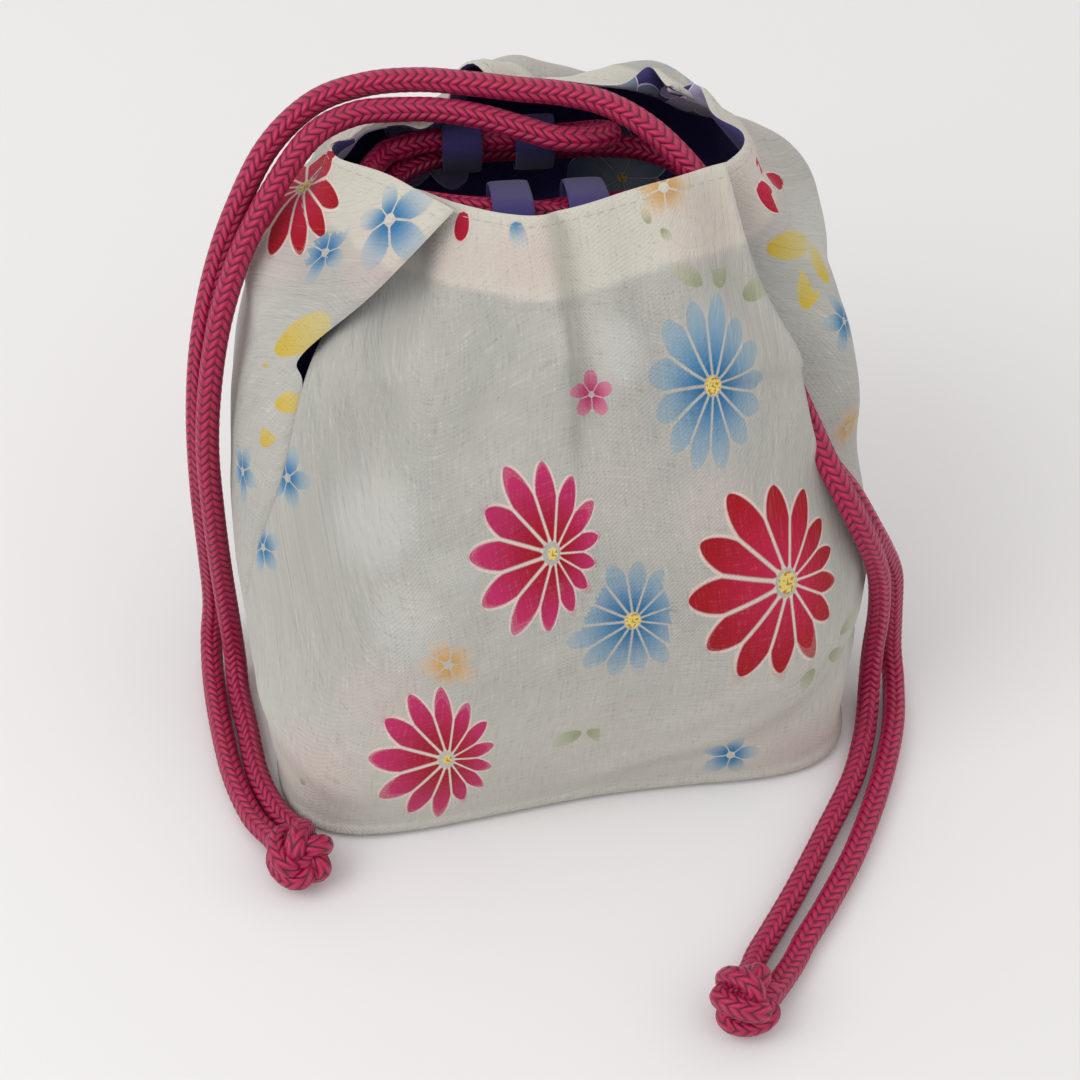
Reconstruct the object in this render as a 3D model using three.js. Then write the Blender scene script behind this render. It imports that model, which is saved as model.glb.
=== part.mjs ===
// A kinchaku, a small lined drawstring pouch of printed cotton, standing on its base and filled out.
// Two outer panels and two lining panels are sewn together along the base and up both sides as far
// as the slits. Two drawcords run through four cloth tabs inside the mouth, and each is doubled and
// tied off in a knot: one comes out over the left rim, the other through the right slit.
//
// Millimetres. +X is to the right, -Y is the front, +Z is up, and z = 0 is the surface it stands on.

import * as THREE from 'three';

// ---- driving dimensions -------------------------------------------------------------------------

const CORD_DIAMETER = 6;
const CORD_SIDES = 8;
const CORD_STEP = 2.6 * CORD_DIAMETER;  // length of one step along a cord, before its bends
const CORD_BEND_STEPS = 14;             // further steps, for the bends
const CORD_MOST_STEPS = 80;

const OUTER_WALL = [0.6, 1.5];          // how far the outer cloth's two faces stand out from the form
const LINING_WALL = [-0.9, -0.1];       // the same for the lining, which lies just inside it
const BASE_HEIGHT = OUTER_WALL[1];      // the form's base, so that the cloth's underside is at z = 0
const SEAM_GAP = 0.005;                 // share of a panel's width left open beside each side seam

const SLIT_LOW = 90;                    // the side slits start to open at this height
const SLIT_OPEN = 112;                  // and stand fully open at this one
const LEFT_SEAM = { turn: 36, by: 106 };    // degrees each side seam has come round towards the
const RIGHT_SEAM = { turn: 22, by: 100 };   // front by a height
const FRONT_SLIT_TURN = -10;            // degrees the right slit's two edges draw apart
const BACK_SLIT_TURN = 12;
const FRONT_SLIT_LIFT = 6;              // how far the front's slit edge lifts off the back
const FRONT_SLIT_LIFTED = 0.25;         // and the share of the front's width that lifts with it

const TAB_WIDTH = 10;
const TAB_CLOTH = 0.9;                  // thickness of a folded tab

const KNOT_RADIUS = 8.7;
const KNOT_HEIGHT = 8.2;                // of a knot's middle above the surface

// Body levels: height, half width, middle in X, depth in front, depth behind, squareness, and the
// share by which the front is shallower at the right than at the left.
const BODY_LEVELS = [
  { z: BASE_HEIGHT, half: 72, middle: 1, front: 66, back: 62, squareness: 7, skew: 0.15 },
  { z: 5, half: 75, middle: 0.5, front: 70.5, back: 64, squareness: 6, skew: 0.15 },
  { z: 28, half: 79, middle: 0, front: 71.5, back: 67, squareness: 4, skew: 0.13 },
  { z: 60, half: 80.5, middle: 0, front: 63, back: 70, squareness: 2.9, skew: 0.06 },
  { z: 90, half: 78, middle: 0, front: 50, back: 71, squareness: 2.4, skew: 0 },
  { z: SLIT_OPEN, half: 73, middle: 0, front: 37, back: 69, squareness: 2.2, skew: 0 },
];
const SKEW_SPAN = [-65, 30];            // the X between which the front grows shallower
const BASE_SEAM_HALF = 60;              // half the length of the seam across the base
const BASE_SEAM_GAP = 0.9;              // distance of each panel's edge from that seam

// The gathered top of each panel, from its left edge to its right: the shoulder, the level at which
// the tabs and cords hold it, and the hem.
const FRONT_TOP = [
  [[-54, -10, 119], [-45, -22, 121], [-24, -30, 121], [6, -31, 121], [34, -31, 120], [49, -30, 120],
    [58, -27, 118]],
  [[-44, 4, 131], [-34, -8, 131], [-22, -18, 131], [0, -22, 131], [26, -20, 132], [40, -17, 132],
    [49, -14, 132]],
  [[-44, 14, 145], [-32, 7, 147], [-20, -2, 148], [-8, -8, 149], [3, -9, 150], [24, -4.5, 153],
    [42, -0.5, 155]],
];
const BACK_TOP = [
  [[-60, -18, 118], [-69, 2, 122], [-68, 26, 128], [-50, 48, 134], [-22, 60, 137], [0, 63, 139],
    [28, 61, 140], [52, 45, 136], [67, 25, 128], [71, 9, 121], [69, -4, 116]],
  [[-42, -15, 133], [-51, 0, 136], [-54, 18, 137], [-44, 38, 141], [-24, 43, 143], [-8, 50, 147],
    [12, 44, 145], [28, 48, 147], [47, 33, 142], [58, 16, 136], [58, 6, 131]],
  [[-22, -8, 151], [-37, 2, 152], [-50, 14, 150], [-46, 31, 150], [-28, 38, 153], [-12, 39, 160],
    [8, 32, 158], [27, 36, 160], [42, 28, 159], [50, 12, 152]],
];

// Each drawcord's centre line, from one end at its knot to the other.
const LEFT_KNOT = [-69, -80.6];
const LEFT_CORD_ROUTE = [
  [-75.5, -72.5, 4.8], [-81, -63.5, 3.3], [-86, -49, 3.2], [-89.3, -31, 3.2], [-91.2, -15, 3.4],
  [-91.4, -4, 8], [-89.8, -1.5, 20], [-89.3, -2, 40], [-89, -2.5, 62], [-87.8, -0.5, 84],
  [-85.2, 4.5, 103], [-80.5, 11, 120], [-74, 17.5, 134.5], [-65, 24.5, 148], [-53.5, 30.5, 155.8],
  [-41, 32.8, 158.8], [-28, 32.2, 159.8], [-16, 29, 160.2], [-5, 25.5, 160.4], [6, 22.5, 160.5],
  [16, 18, 160], [25, 11.5, 157.5], [33, 5, 152], [39, -1, 145.5], [40, -4, 139], [34, -5, 135.5],
  [24, -2, 136.5], [13, 2, 138], [2, 4, 139], [-10, 5.5, 139.7], [-23, 8, 140], [-35, 13, 140],
  [-41, 22, 140], [-37, 31, 140], [-27, 34.5, 140], [-15, 34.5, 140], [-3, 34, 140], [8, 33, 141],
  [15.3, 29.7, 143.7], [17.5, 24.3, 146.8], [12.5, 19.2, 149.3], [4, 18, 151], [-4, 20.3, 152.7],
  [-14, 23.3, 154.6], [-24, 25.5, 155.5], [-34, 26.3, 155.6], [-44, 25.5, 155.5], [-54.5, 22, 152],
  [-64.5, 15.5, 141.5], [-73, 8.5, 129], [-79, 2, 115.5], [-83, -3.5, 100], [-85.5, -8, 82],
  [-86, -10, 62], [-86, -9.5, 40], [-85.5, -9.5, 20], [-85, -12, 8], [-84.4, -20, 3.6],
  [-82.4, -32, 3.2], [-79.4, -50, 3.2], [-74.4, -62.5, 3.3], [-68.8, -70.8, 4.8],
];
const RIGHT_KNOT = [36, -133.1];
const RIGHT_CORD_ROUTE = [
  [45, -127.5, 5.2], [50, -120, 3.3], [54, -113.5, 3.2], [61, -103.5, 3.2], [71, -87.5, 3.2],
  [81, -67, 3.2], [88, -48, 3.2], [91, -33, 3.6], [91, -25.5, 10], [89.5, -24.5, 24],
  [87.8, -25, 40], [86, -25.5, 54], [84, -25.5, 67], [82.2, -24.5, 78], [80.8, -22, 87],
  [79.3, -18.5, 95.5], [78.6, -18.5, 101.7], [69.6, -13.4, 109], [61, -4.5, 114.5],
  [53.5, 1.8, 118], [46, 9, 121.5], [38, 14.5, 127.5], [27, 16.5, 131], [14, 14.5, 133],
  [0, 13, 132.8], [-13, 12, 132.8], [-26, 14, 132.8], [-35, 21, 132.8], [-35, 30, 132.8],
  [-26, 37, 133], [-14, 39, 133], [0, 39, 133], [14, 39, 133], [28, 36.5, 133], [39, 28, 132.5],
  [46, 17, 130.5], [50.5, 4, 128], [54.5, -6, 124], [59, -12.8, 118.5], [64.2, -18.5, 111.5],
  [69.4, -21, 104.8], [76, -25.1, 96.3], [78, -28.5, 87.5], [79.8, -31.5, 78.5], [81.2, -33.7, 68],
  [82.3, -34.8, 57], [83.2, -34.8, 46], [83.8, -34, 32], [83.8, -33.8, 18], [83.5, -36, 7.5],
  [82, -43, 3.5], [79.3, -52, 3.2], [74, -65, 3.2], [64, -82, 3.2], [54, -98.5, 3.2],
  [46, -110.5, 3.2], [41.3, -117.5, 3.6], [38.2, -123.8, 5.2],
];

// Each tab's place: its middle, how far it slopes down towards the back (degrees), and the half
// length and half height of the opening that the two cords pass through.
const TABS = {
  front_left_tab: { at: [-8, 6.5, 137.8], slope: 23, halfLength: 14, halfHeight: 5.8 },
  front_right_tab: { at: [10, 6, 138], slope: 23, halfLength: 14, halfHeight: 5.8 },
  back_left_tab: { at: [-18, 36.5, 136.6], slope: 57, halfLength: 8.6, halfHeight: 4.6 },
  back_right_tab: { at: [0, 36.4, 136.8], slope: 57, halfLength: 8.8, halfHeight: 4.8 },
};

// ---- materials ----------------------------------------------------------------------------------

const cotton = new THREE.MeshStandardMaterial({ color: 0xd3cfc2, roughness: 0.9, metalness: 0 });
const navyCotton = new THREE.MeshStandardMaterial({ color: 0x19143c, roughness: 0.85, metalness: 0 });
const braid = new THREE.MeshStandardMaterial({ color: 0xa50a3c, roughness: 0.7, metalness: 0 });

// ---- the pouch's form ---------------------------------------------------------------------------

const FORM_ROWS_PER_LEVEL = 2;
const PANEL_COLUMNS = 22;

function smoothStep(t) {
  return THREE.MathUtils.smoothstep(t, 0, 1);
}

function slitShare(z) {
  return smoothStep((z - SLIT_LOW) / (SLIT_OPEN - SLIT_LOW));
}

// The angle at which a side seam, or the slit edge above it, meets a level, counted from +X.
function leftEdgeAngle(z) {
  return 180 + LEFT_SEAM.turn * smoothStep(z / LEFT_SEAM.by);
}

function rightEdgeAngle(z, isFront) {
  const seam = 360 - RIGHT_SEAM.turn * smoothStep(z / RIGHT_SEAM.by);
  return seam + (isFront ? FRONT_SLIT_TURN : BACK_SLIT_TURN) * slitShare(z);
}

function signedPower(value, power) {
  return Math.sign(value) * Math.abs(value) ** power;
}

function smoothCurve(points) {
  const vectors = points.map((p) => new THREE.Vector3(...p));
  const curve = new THREE.CatmullRomCurve3(vectors, false, 'catmullrom', 0.5);
  curve.arcLengthDivisions = 400;
  return curve;
}

// One body level between a panel's two edges, as points of a rounded rectangle. Above the slit the
// front panel's right edge lifts off the back panel, so that the cords can pass out beneath it.
function bodyCurve(level, isFront) {
  const start = leftEdgeAngle(level.z);
  const end = rightEdgeAngle(level.z, isFront) - (isFront ? 0 : 360);
  const lift = isFront ? FRONT_SLIT_LIFT * slitShare(level.z) : 0;
  const count = 60;
  const points = [];
  for (let i = 0; i <= count; i += 1) {
    const angle = THREE.MathUtils.degToRad(start + ((end - start) * i) / count);
    const x = level.middle + level.half * signedPower(Math.cos(angle), 2 / level.squareness);
    const skew = level.skew * smoothStep((x - SKEW_SPAN[0]) / (SKEW_SPAN[1] - SKEW_SPAN[0]));
    const depth = Math.sin(angle) < 0 ? level.front * (1 - skew) : level.back;
    const y = depth * signedPower(Math.sin(angle), 2 / level.squareness);
    const lifted = smoothStep(1 - (1 - i / count) / FRONT_SLIT_LIFTED);
    points.push([x, y - lift * lifted, level.z]);
  }
  return smoothCurve(points);
}

function baseSeamCurve(isFront) {
  const y = isFront ? -BASE_SEAM_GAP : BASE_SEAM_GAP;
  return smoothCurve([[-BASE_SEAM_HALF, y, BASE_HEIGHT], [0, y, BASE_HEIGHT],
    [BASE_SEAM_HALF, y, BASE_HEIGHT]]);
}

// A panel's form as a function of u across it and v up it, both from 0 to 1. u runs to the right
// as the panel is seen from outside, so that the form's normal points outwards.
function panelForm(isFront) {
  const across = [
    baseSeamCurve(isFront),
    ...BODY_LEVELS.map((level) => bodyCurve(level, isFront)),
    ...(isFront ? FRONT_TOP : BACK_TOP).map(smoothCurve),
  ];
  const upright = new Map();
  return (u, v) => {
    if (!upright.has(u)) {
      const share = SEAM_GAP + (1 - 2 * SEAM_GAP) * (isFront ? u : 1 - u);
      upright.set(u, smoothCurve(across.map((curve) => curve.getPointAt(share).toArray())));
    }
    const point = upright.get(u).getPoint(v);
    point.z = Math.max(point.z, BASE_HEIGHT);
    return point;
  };
}

function formNormal(form, u, v) {
  const step = 0.004;
  const [u0, u1] = [Math.max(0, u - step), Math.min(1, u + step)];
  const [v0, v1] = [Math.max(0, v - step), Math.min(1, v + step)];
  const alongU = form(u1, v).sub(form(u0, v));
  const alongV = form(u, v1).sub(form(u, v0));
  return alongU.cross(alongV).normalize();
}

// ---- pieces -------------------------------------------------------------------------------------

// A closed sheet that follows the form, with its two faces at the given distances from it.
function clothPanel(form, [inside, outside], rows) {
  const geometry = new THREE.BoxGeometry(1, 1, 1, PANEL_COLUMNS, rows, 1);
  const position = geometry.attributes.position;
  for (let i = 0; i < position.count; i += 1) {
    const u = position.getX(i) + 0.5;
    const v = position.getY(i) + 0.5;
    const offset = position.getZ(i) > 0 ? outside : inside;
    const point = form(u, v).addScaledVector(formNormal(form, u, v), offset);
    position.setXYZ(i, point.x, point.y, point.z);
  }
  return geometry;
}

function cordTube(route) {
  const curve = smoothCurve(route);
  const section = new THREE.Shape();
  section.absarc(0, 0, CORD_DIAMETER / 2, 0, 2 * Math.PI);
  return new THREE.ExtrudeGeometry(section, {
    steps: Math.min(CORD_MOST_STEPS, Math.round(curve.getLength() / CORD_STEP) + CORD_BEND_STEPS),
    curveSegments: CORD_SIDES / 2,
    extrudePath: curve,
  });
}

function knotSolid([x, y]) {
  const geometry = new THREE.SphereGeometry(KNOT_RADIUS, 16, 12);
  const position = geometry.attributes.position;
  for (let i = 0; i < position.count; i += 1) {
    position.setZ(i, Math.max(position.getZ(i), -KNOT_HEIGHT));
  }
  geometry.translate(x, y, KNOT_HEIGHT);
  return geometry;
}

function roundEndedPath(path, halfLength, radius) {
  const straight = halfLength - radius;
  path.moveTo(-straight, -radius);
  path.lineTo(straight, -radius);
  path.absarc(straight, 0, radius, -Math.PI / 2, Math.PI / 2);
  path.lineTo(-straight, radius);
  path.absarc(-straight, 0, radius, Math.PI / 2, (3 * Math.PI) / 2);
  return path;
}

// A flat band sewn into a loop, seen end on as a round-ended outline.
function tabLoop({ at, slope, halfLength, halfHeight }) {
  const outline = roundEndedPath(new THREE.Shape(), halfLength + TAB_CLOTH, halfHeight + TAB_CLOTH);
  outline.holes.push(roundEndedPath(new THREE.Path(), halfLength, halfHeight));
  const geometry = new THREE.ExtrudeGeometry(outline, {
    depth: TAB_WIDTH,
    bevelEnabled: false,
    curveSegments: 5,
  });
  geometry.translate(0, 0, -TAB_WIDTH / 2);
  geometry.rotateX(Math.PI / 2);
  geometry.rotateZ(Math.PI / 2);
  geometry.rotateX(THREE.MathUtils.degToRad(-slope));
  geometry.translate(...at);
  return geometry;
}

// ---- the pouch ----------------------------------------------------------------------------------

const pouch = new THREE.Group();

function add(name, geometry, material) {
  const mesh = new THREE.Mesh(geometry, material);
  mesh.name = name;
  pouch.add(mesh);
}

for (const side of ['front', 'back']) {
  const form = panelForm(side === 'front');
  const rows = FORM_ROWS_PER_LEVEL * (BODY_LEVELS.length + FRONT_TOP.length);
  add(`outer_${side}_panel`, clothPanel(form, OUTER_WALL, rows), cotton);
  add(`lining_${side}_panel`, clothPanel(form, LINING_WALL, rows), navyCotton);
}

for (const [name, tab] of Object.entries(TABS)) {
  add(name, tabLoop(tab), navyCotton);
}

add('left_drawcord', cordTube(LEFT_CORD_ROUTE), braid);
add('right_drawcord', cordTube(RIGHT_CORD_ROUTE), braid);
add('left_knot', knotSolid(LEFT_KNOT), braid);
add('right_knot', knotSolid(RIGHT_KNOT), braid);

export default pouch;
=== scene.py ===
"""Kinchaku drawstring pouch: the looks of a small lined pouch of printed cotton, filled out and
standing on its base, with its mouth gathered by two doubled braided cords that end in knots.

Lengths are in metres unless a name ends in _mm. +X is to the right, -Y the front and +Z up.
"""

import math

import bpy
import numpy as np
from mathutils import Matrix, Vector, noise


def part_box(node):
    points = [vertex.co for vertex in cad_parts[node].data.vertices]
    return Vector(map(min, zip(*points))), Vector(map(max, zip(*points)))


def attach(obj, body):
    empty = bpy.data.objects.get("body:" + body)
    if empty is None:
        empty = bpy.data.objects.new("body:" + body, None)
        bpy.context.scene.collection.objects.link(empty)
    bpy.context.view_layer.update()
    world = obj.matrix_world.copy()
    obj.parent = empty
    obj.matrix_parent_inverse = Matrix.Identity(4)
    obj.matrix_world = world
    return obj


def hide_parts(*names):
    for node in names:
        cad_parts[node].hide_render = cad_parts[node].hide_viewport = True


bl_info = {
    "name": "Kinchaku Pouch",
    "version": (1, 0, 0),
    "blender": (4, 5, 0),
    "location": "View3D > Sidebar > Pouch",
    "description": "Makes a gathered cotton pouch with its lining, tabs, drawcords and knots",
    "category": "Add Mesh",
}

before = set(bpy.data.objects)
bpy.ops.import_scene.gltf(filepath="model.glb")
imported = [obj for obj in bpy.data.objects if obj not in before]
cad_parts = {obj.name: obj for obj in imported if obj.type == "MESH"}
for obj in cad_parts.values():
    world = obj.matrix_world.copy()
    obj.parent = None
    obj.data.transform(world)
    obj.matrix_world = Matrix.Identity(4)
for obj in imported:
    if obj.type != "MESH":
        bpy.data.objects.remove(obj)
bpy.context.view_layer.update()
MM = 0.001

# ---- shapes shared with the frame ---------------------------------------------------------------
# The pouch's form in millimetres. The body has the frame's levels. Its edges differ from the frame's
# at the right, where the front laps over the back lower down, and the back's hem is folded closer
# behind the cords.

BASE_HEIGHT_MM = 1.5
SLIT_LOW_MM, SLIT_OPEN_MM = 90, 112
# Each edge's turn away from the side, in degrees, and the height by which it is reached.
LEFT_EDGE_TURN, LEFT_EDGE_HEIGHT_MM = 36, 106
RIGHT_EDGE_TURN, RIGHT_EDGE_HEIGHT_MM = 22, 100
# The lap at the right: where it starts and how far up it grows, then each panel's further turn.
LAP_LOW_MM, LAP_RISE_MM = 58, 34
FRONT_LAP_TURN, BACK_LAP_TURN = 16, 20
# The back's edge is tucked in under the front's, and the front's edge stands forward of it.
TUCK_MM, TUCK_START, TUCK_SPAN, TUCK_WAY = 7, 0.86, 0.12, (-0.75, 0.65)
LIFT_MM, LIFT_START, LIFT_SPAN = 6, 0.75, 0.25
# The front grows shallower from this place to the right over this width.
SKEW_FROM_MM, SKEW_WIDTH_MM = -65, 95
# height, half width, middle, depth in front, depth behind, squareness, and the share by which the
# front is shallower at the right than at the left
BODY_LEVELS_MM = [
    (1.5, 72, 1, 66, 62, 7, 0.15),
    (5, 75, 0.5, 70.5, 64, 6, 0.15),
    (28, 79, 0, 71.5, 67, 4, 0.13),
    (60, 80.5, 0, 63, 70, 2.9, 0.06),
    (90, 78, 0, 50, 71, 2.4, 0),
    (112, 73, 0, 37, 69, 2.2, 0),
]
BASE_SEAM_HALF_MM = 60
FRONT_TOP_MM = [
    [(-54, -10, 119), (-45, -22, 121), (-24, -30, 121), (6, -31, 121), (34, -31, 120),
     (49, -30, 120), (58, -27, 118)],
    [(-44, 4, 131), (-34, -8, 131), (-22, -18, 131), (0, -22, 131), (26, -20, 132),
     (40, -17, 132), (49, -14, 132)],
    [(-44, 14, 145), (-32, 7, 147), (-20, -2, 148), (-8, -8, 149), (3, -9, 150),
     (24, -4.5, 153), (42, -0.5, 155)],
]
BACK_TOP_MM = [
    [(-60, -18, 118), (-69, 2, 122), (-68, 26, 128), (-50, 48, 134), (-22, 60, 137),
     (0, 63, 139), (28, 61, 140), (52, 45, 136), (67, 25, 128), (70, 11, 123), (63, -3, 119),
     (50, -15, 118)],
    [(-42, -15, 133), (-51, 0, 136), (-54, 18, 137), (-44, 38, 141), (-24, 43, 143),
     (-8, 50, 147), (12, 44, 145), (28, 48, 147), (47, 33, 142), (58, 18, 137), (57, 7, 133),
     (43, -5, 131)],
    [(-22, -8, 151), (-36, 3, 153), (-49, 18, 151), (-42, 28, 149.5), (-28, 24, 149),
     (-22, 33, 155), (-15, 36.5, 160), (-10, 31, 155), (-2, 33.5, 159), (10, 28.5, 157.5),
     (20, 30, 158), (28, 33, 160), (31, 25, 157), (39, 28, 157), (44, 18, 154),
     (46, 9, 152), (38, 3, 148)],
]

# The drawcords' routes in metres. The left one is the frame's. The right one leaves the mouth lower
# and further forward than the frame's, so that it comes out from under the front's edge.
LEFT_ROUTE = [
    (-0.0755, -0.0725, 0.0048), (-0.081, -0.0635, 0.0033), (-0.086, -0.049, 0.0032),
    (-0.0893, -0.031, 0.0032), (-0.0912, -0.015, 0.0034), (-0.0914, -0.004, 0.008),
    (-0.0898, -0.0015, 0.02), (-0.0893, -0.002, 0.04), (-0.089, -0.0025, 0.062),
    (-0.0878, -0.0005, 0.084), (-0.0852, 0.0045, 0.103), (-0.0805, 0.011, 0.12),
    (-0.074, 0.0175, 0.1345), (-0.065, 0.0245, 0.148), (-0.0535, 0.0305, 0.1558),
    (-0.041, 0.0328, 0.1588), (-0.028, 0.0322, 0.1598), (-0.016, 0.029, 0.1602),
    (-0.005, 0.0255, 0.1604), (0.006, 0.0225, 0.1605), (0.016, 0.018, 0.16),
    (0.025, 0.0115, 0.1575), (0.033, 0.005, 0.152), (0.039, -0.001, 0.1455),
    (0.04, -0.004, 0.139), (0.034, -0.005, 0.1355), (0.024, -0.002, 0.1365),
    (0.013, 0.002, 0.138), (0.002, 0.004, 0.139), (-0.01, 0.0055, 0.1397), (-0.023, 0.008, 0.14),
    (-0.035, 0.013, 0.14), (-0.041, 0.022, 0.14), (-0.037, 0.031, 0.14), (-0.027, 0.0345, 0.14),
    (-0.015, 0.0345, 0.14), (-0.003, 0.034, 0.14), (0.008, 0.033, 0.141),
    (0.0153, 0.0297, 0.1437), (0.0175, 0.0243, 0.1468), (0.0125, 0.0192, 0.1493),
    (0.004, 0.018, 0.151), (-0.004, 0.0203, 0.1527), (-0.014, 0.0233, 0.1546),
    (-0.024, 0.0255, 0.1555), (-0.034, 0.0263, 0.1556), (-0.044, 0.0255, 0.1555),
    (-0.0545, 0.022, 0.152), (-0.0645, 0.0155, 0.1415), (-0.073, 0.0085, 0.129),
    (-0.079, 0.002, 0.1155), (-0.083, -0.0035, 0.1), (-0.0855, -0.008, 0.082),
    (-0.086, -0.01, 0.062), (-0.086, -0.0095, 0.04), (-0.0855, -0.0095, 0.02),
    (-0.085, -0.012, 0.008), (-0.0844, -0.02, 0.0036), (-0.0824, -0.032, 0.0032),
    (-0.0794, -0.05, 0.0032), (-0.0744, -0.0625, 0.0033), (-0.0688, -0.0708, 0.0048),
]
RIGHT_ROUTE = [
    (0.045, -0.1275, 0.0052), (0.05, -0.12, 0.0033), (0.054, -0.1135, 0.0032),
    (0.061, -0.1035, 0.0032), (0.071, -0.0875, 0.0032), (0.081, -0.067, 0.0032),
    (0.088, -0.048, 0.0032), (0.091, -0.033, 0.0036), (0.091, -0.0255, 0.01),
    (0.0898, -0.0255, 0.024), (0.088, -0.027, 0.04), (0.084, -0.03, 0.052),
    (0.0795, -0.0335, 0.063), (0.073, -0.033, 0.076), (0.0665, -0.0305, 0.085),
    (0.061, -0.025, 0.093), (0.0575, -0.018, 0.1), (0.0545, -0.01, 0.107),
    (0.0515, -0.0025, 0.114), (0.0485, 0.004, 0.1185), (0.044, 0.0095, 0.1215),
    (0.038, 0.0145, 0.1275), (0.027, 0.0165, 0.131), (0.014, 0.0145, 0.133), (0, 0.013, 0.1328),
    (-0.013, 0.012, 0.1328), (-0.026, 0.014, 0.1328), (-0.035, 0.021, 0.1328),
    (-0.035, 0.03, 0.1328), (-0.026, 0.037, 0.133), (-0.014, 0.039, 0.133), (0, 0.039, 0.133),
    (0.014, 0.039, 0.133), (0.027, 0.0365, 0.133), (0.037, 0.029, 0.1325), (0.0425, 0.019, 0.13),
    (0.0455, 0.007, 0.1265), (0.049, -0.004, 0.12), (0.0535, -0.013, 0.112),
    (0.0575, -0.0215, 0.104), (0.0615, -0.0285, 0.0965), (0.066, -0.0345, 0.088),
    (0.0708, -0.0384, 0.079), (0.0756, -0.0396, 0.0685), (0.0796, -0.038, 0.058),
    (0.0824, -0.036, 0.047), (0.0838, -0.0345, 0.033), (0.0838, -0.0338, 0.018),
    (0.0835, -0.036, 0.0075), (0.082, -0.043, 0.0035), (0.0793, -0.052, 0.0032),
    (0.074, -0.065, 0.0032), (0.064, -0.082, 0.0032), (0.054, -0.0985, 0.0032),
    (0.046, -0.1105, 0.0032), (0.0413, -0.1175, 0.0036), (0.0382, -0.1238, 0.0052),
]
# Each cord's route is closed through its knot. Its exit is where it leaves the pouch, over the rim
# or out of the slit, and its line starts at a place in the route that lies inside the mouth.
LEFT_EXIT, LEFT_START = (-0.045, 0.0335, 0.159), 33
RIGHT_EXIT, RIGHT_START = (0.049, -0.004, 0.120), 35

# Each tab: middle, how far it slopes down towards the back, half length and half height (mm).
TABS_MM = {
    "front_left_tab": ((-8, 6.5, 137.8), 23, 14, 5.8),
    "front_right_tab": ((10, 6, 138), 23, 14, 5.8),
    "back_left_tab": ((-18, 36.5, 136.6), 57, 8.6, 4.6),
    "back_right_tab": ((0, 36.4, 136.8), 57, 8.8, 4.8),
}


# ---- settings -----------------------------------------------------------------------------------

class ClothSettings(bpy.types.PropertyGroup):
    """Sizes and colours of the pouch's two cloths."""

    thickness: bpy.props.FloatProperty(
        name="Cloth thickness", description="Thickness of one layer of cloth",
        default=0.0005, unit="LENGTH")
    edge_roll: bpy.props.FloatProperty(
        name="Edge roll", description="How far in from an edge the cloth rounds over",
        default=0.0016, unit="LENGTH")
    hem_depth: bpy.props.FloatProperty(
        name="Hem depth", description="Depth of the turned hem at the mouth",
        default=0.021, unit="LENGTH")
    # Cream is also painted low down on the cloth as painted light.
    cream: bpy.props.FloatVectorProperty(
        name="Cream", description="Cotton where it lies double, at the hem",
        default=(0.58, 0.555, 0.485), subtype="COLOR")
    grey: bpy.props.FloatVectorProperty(
        name="Grey", description="Cotton where the dark lining shows through it",
        default=(0.395, 0.392, 0.362), subtype="COLOR")
    blush: bpy.props.FloatVectorProperty(
        name="Blush", description="Soft pink clouds in the print",
        default=(0.55, 0.44, 0.41), subtype="COLOR")
    navy: bpy.props.FloatVectorProperty(
        name="Navy", description="Ground of the lining",
        default=(0.040, 0.030, 0.140), subtype="COLOR")


class CordSettings(bpy.types.PropertyGroup):
    """Sizes and colours of the braided drawcords."""

    diameter: bpy.props.FloatProperty(
        name="Cord diameter", description="Thickness of the braid",
        default=0.006, unit="LENGTH")
    pitch: bpy.props.FloatProperty(
        name="Braid pitch", description="Length of one chevron along the cord",
        default=0.0024, unit="LENGTH")
    columns: bpy.props.IntProperty(
        name="Braid columns", description="Rows of slanting strands around the cord", default=8)
    crimson: bpy.props.FloatVectorProperty(
        name="Crimson", description="Colour of the strands",
        default=(0.42, 0.003, 0.066), subtype="COLOR")
    # Painted shade: the dark colour painted in the grooves between the strands.
    shade: bpy.props.FloatVectorProperty(
        name="Shade", description="Colour between the strands",
        default=(0.10, 0.0, 0.010), subtype="COLOR")


class StitchSettings(bpy.types.PropertyGroup):
    """Sizes of the topstitching."""

    pitch: bpy.props.FloatProperty(
        name="Stitch pitch", description="Distance from one stitch to the next",
        default=0.0028, unit="LENGTH")
    length: bpy.props.FloatProperty(
        name="Stitch length", description="Length of one stitch", default=0.0021, unit="LENGTH")
    thread: bpy.props.FloatProperty(
        name="Thread", description="Thickness of the thread", default=0.00024, unit="LENGTH")


class StageSettings(bpy.types.PropertyGroup):
    """Camera, floor and light."""

    azimuth: bpy.props.FloatProperty(
        name="Azimuth", description="Camera's turn about the pouch",
        default=math.radians(-5), subtype="ANGLE")
    elevation: bpy.props.FloatProperty(
        name="Elevation", description="Camera's height above the horizon",
        default=math.radians(45), subtype="ANGLE")
    distance: bpy.props.FloatProperty(
        name="Distance", description="Camera to pouch", default=0.62, unit="LENGTH")
    lens: bpy.props.FloatProperty(
        name="Lens", description="Focal length in millimetres", default=82.37)
    floor: bpy.props.FloatVectorProperty(
        name="Floor", description="Colour of the floor",
        default=(0.80, 0.79, 0.79), subtype="COLOR")
    sky: bpy.props.FloatProperty(
        name="Fill light", description="Strength of the even light", default=0.86)
    key: bpy.props.FloatProperty(
        name="Key light", description="Power of the large soft light", default=4.6)


# ---- curves and surfaces in numbers -------------------------------------------------------------

def smooth_step(t):
    t = np.clip(t, 0, 1)
    return t * t * (3 - 2 * t)


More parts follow.
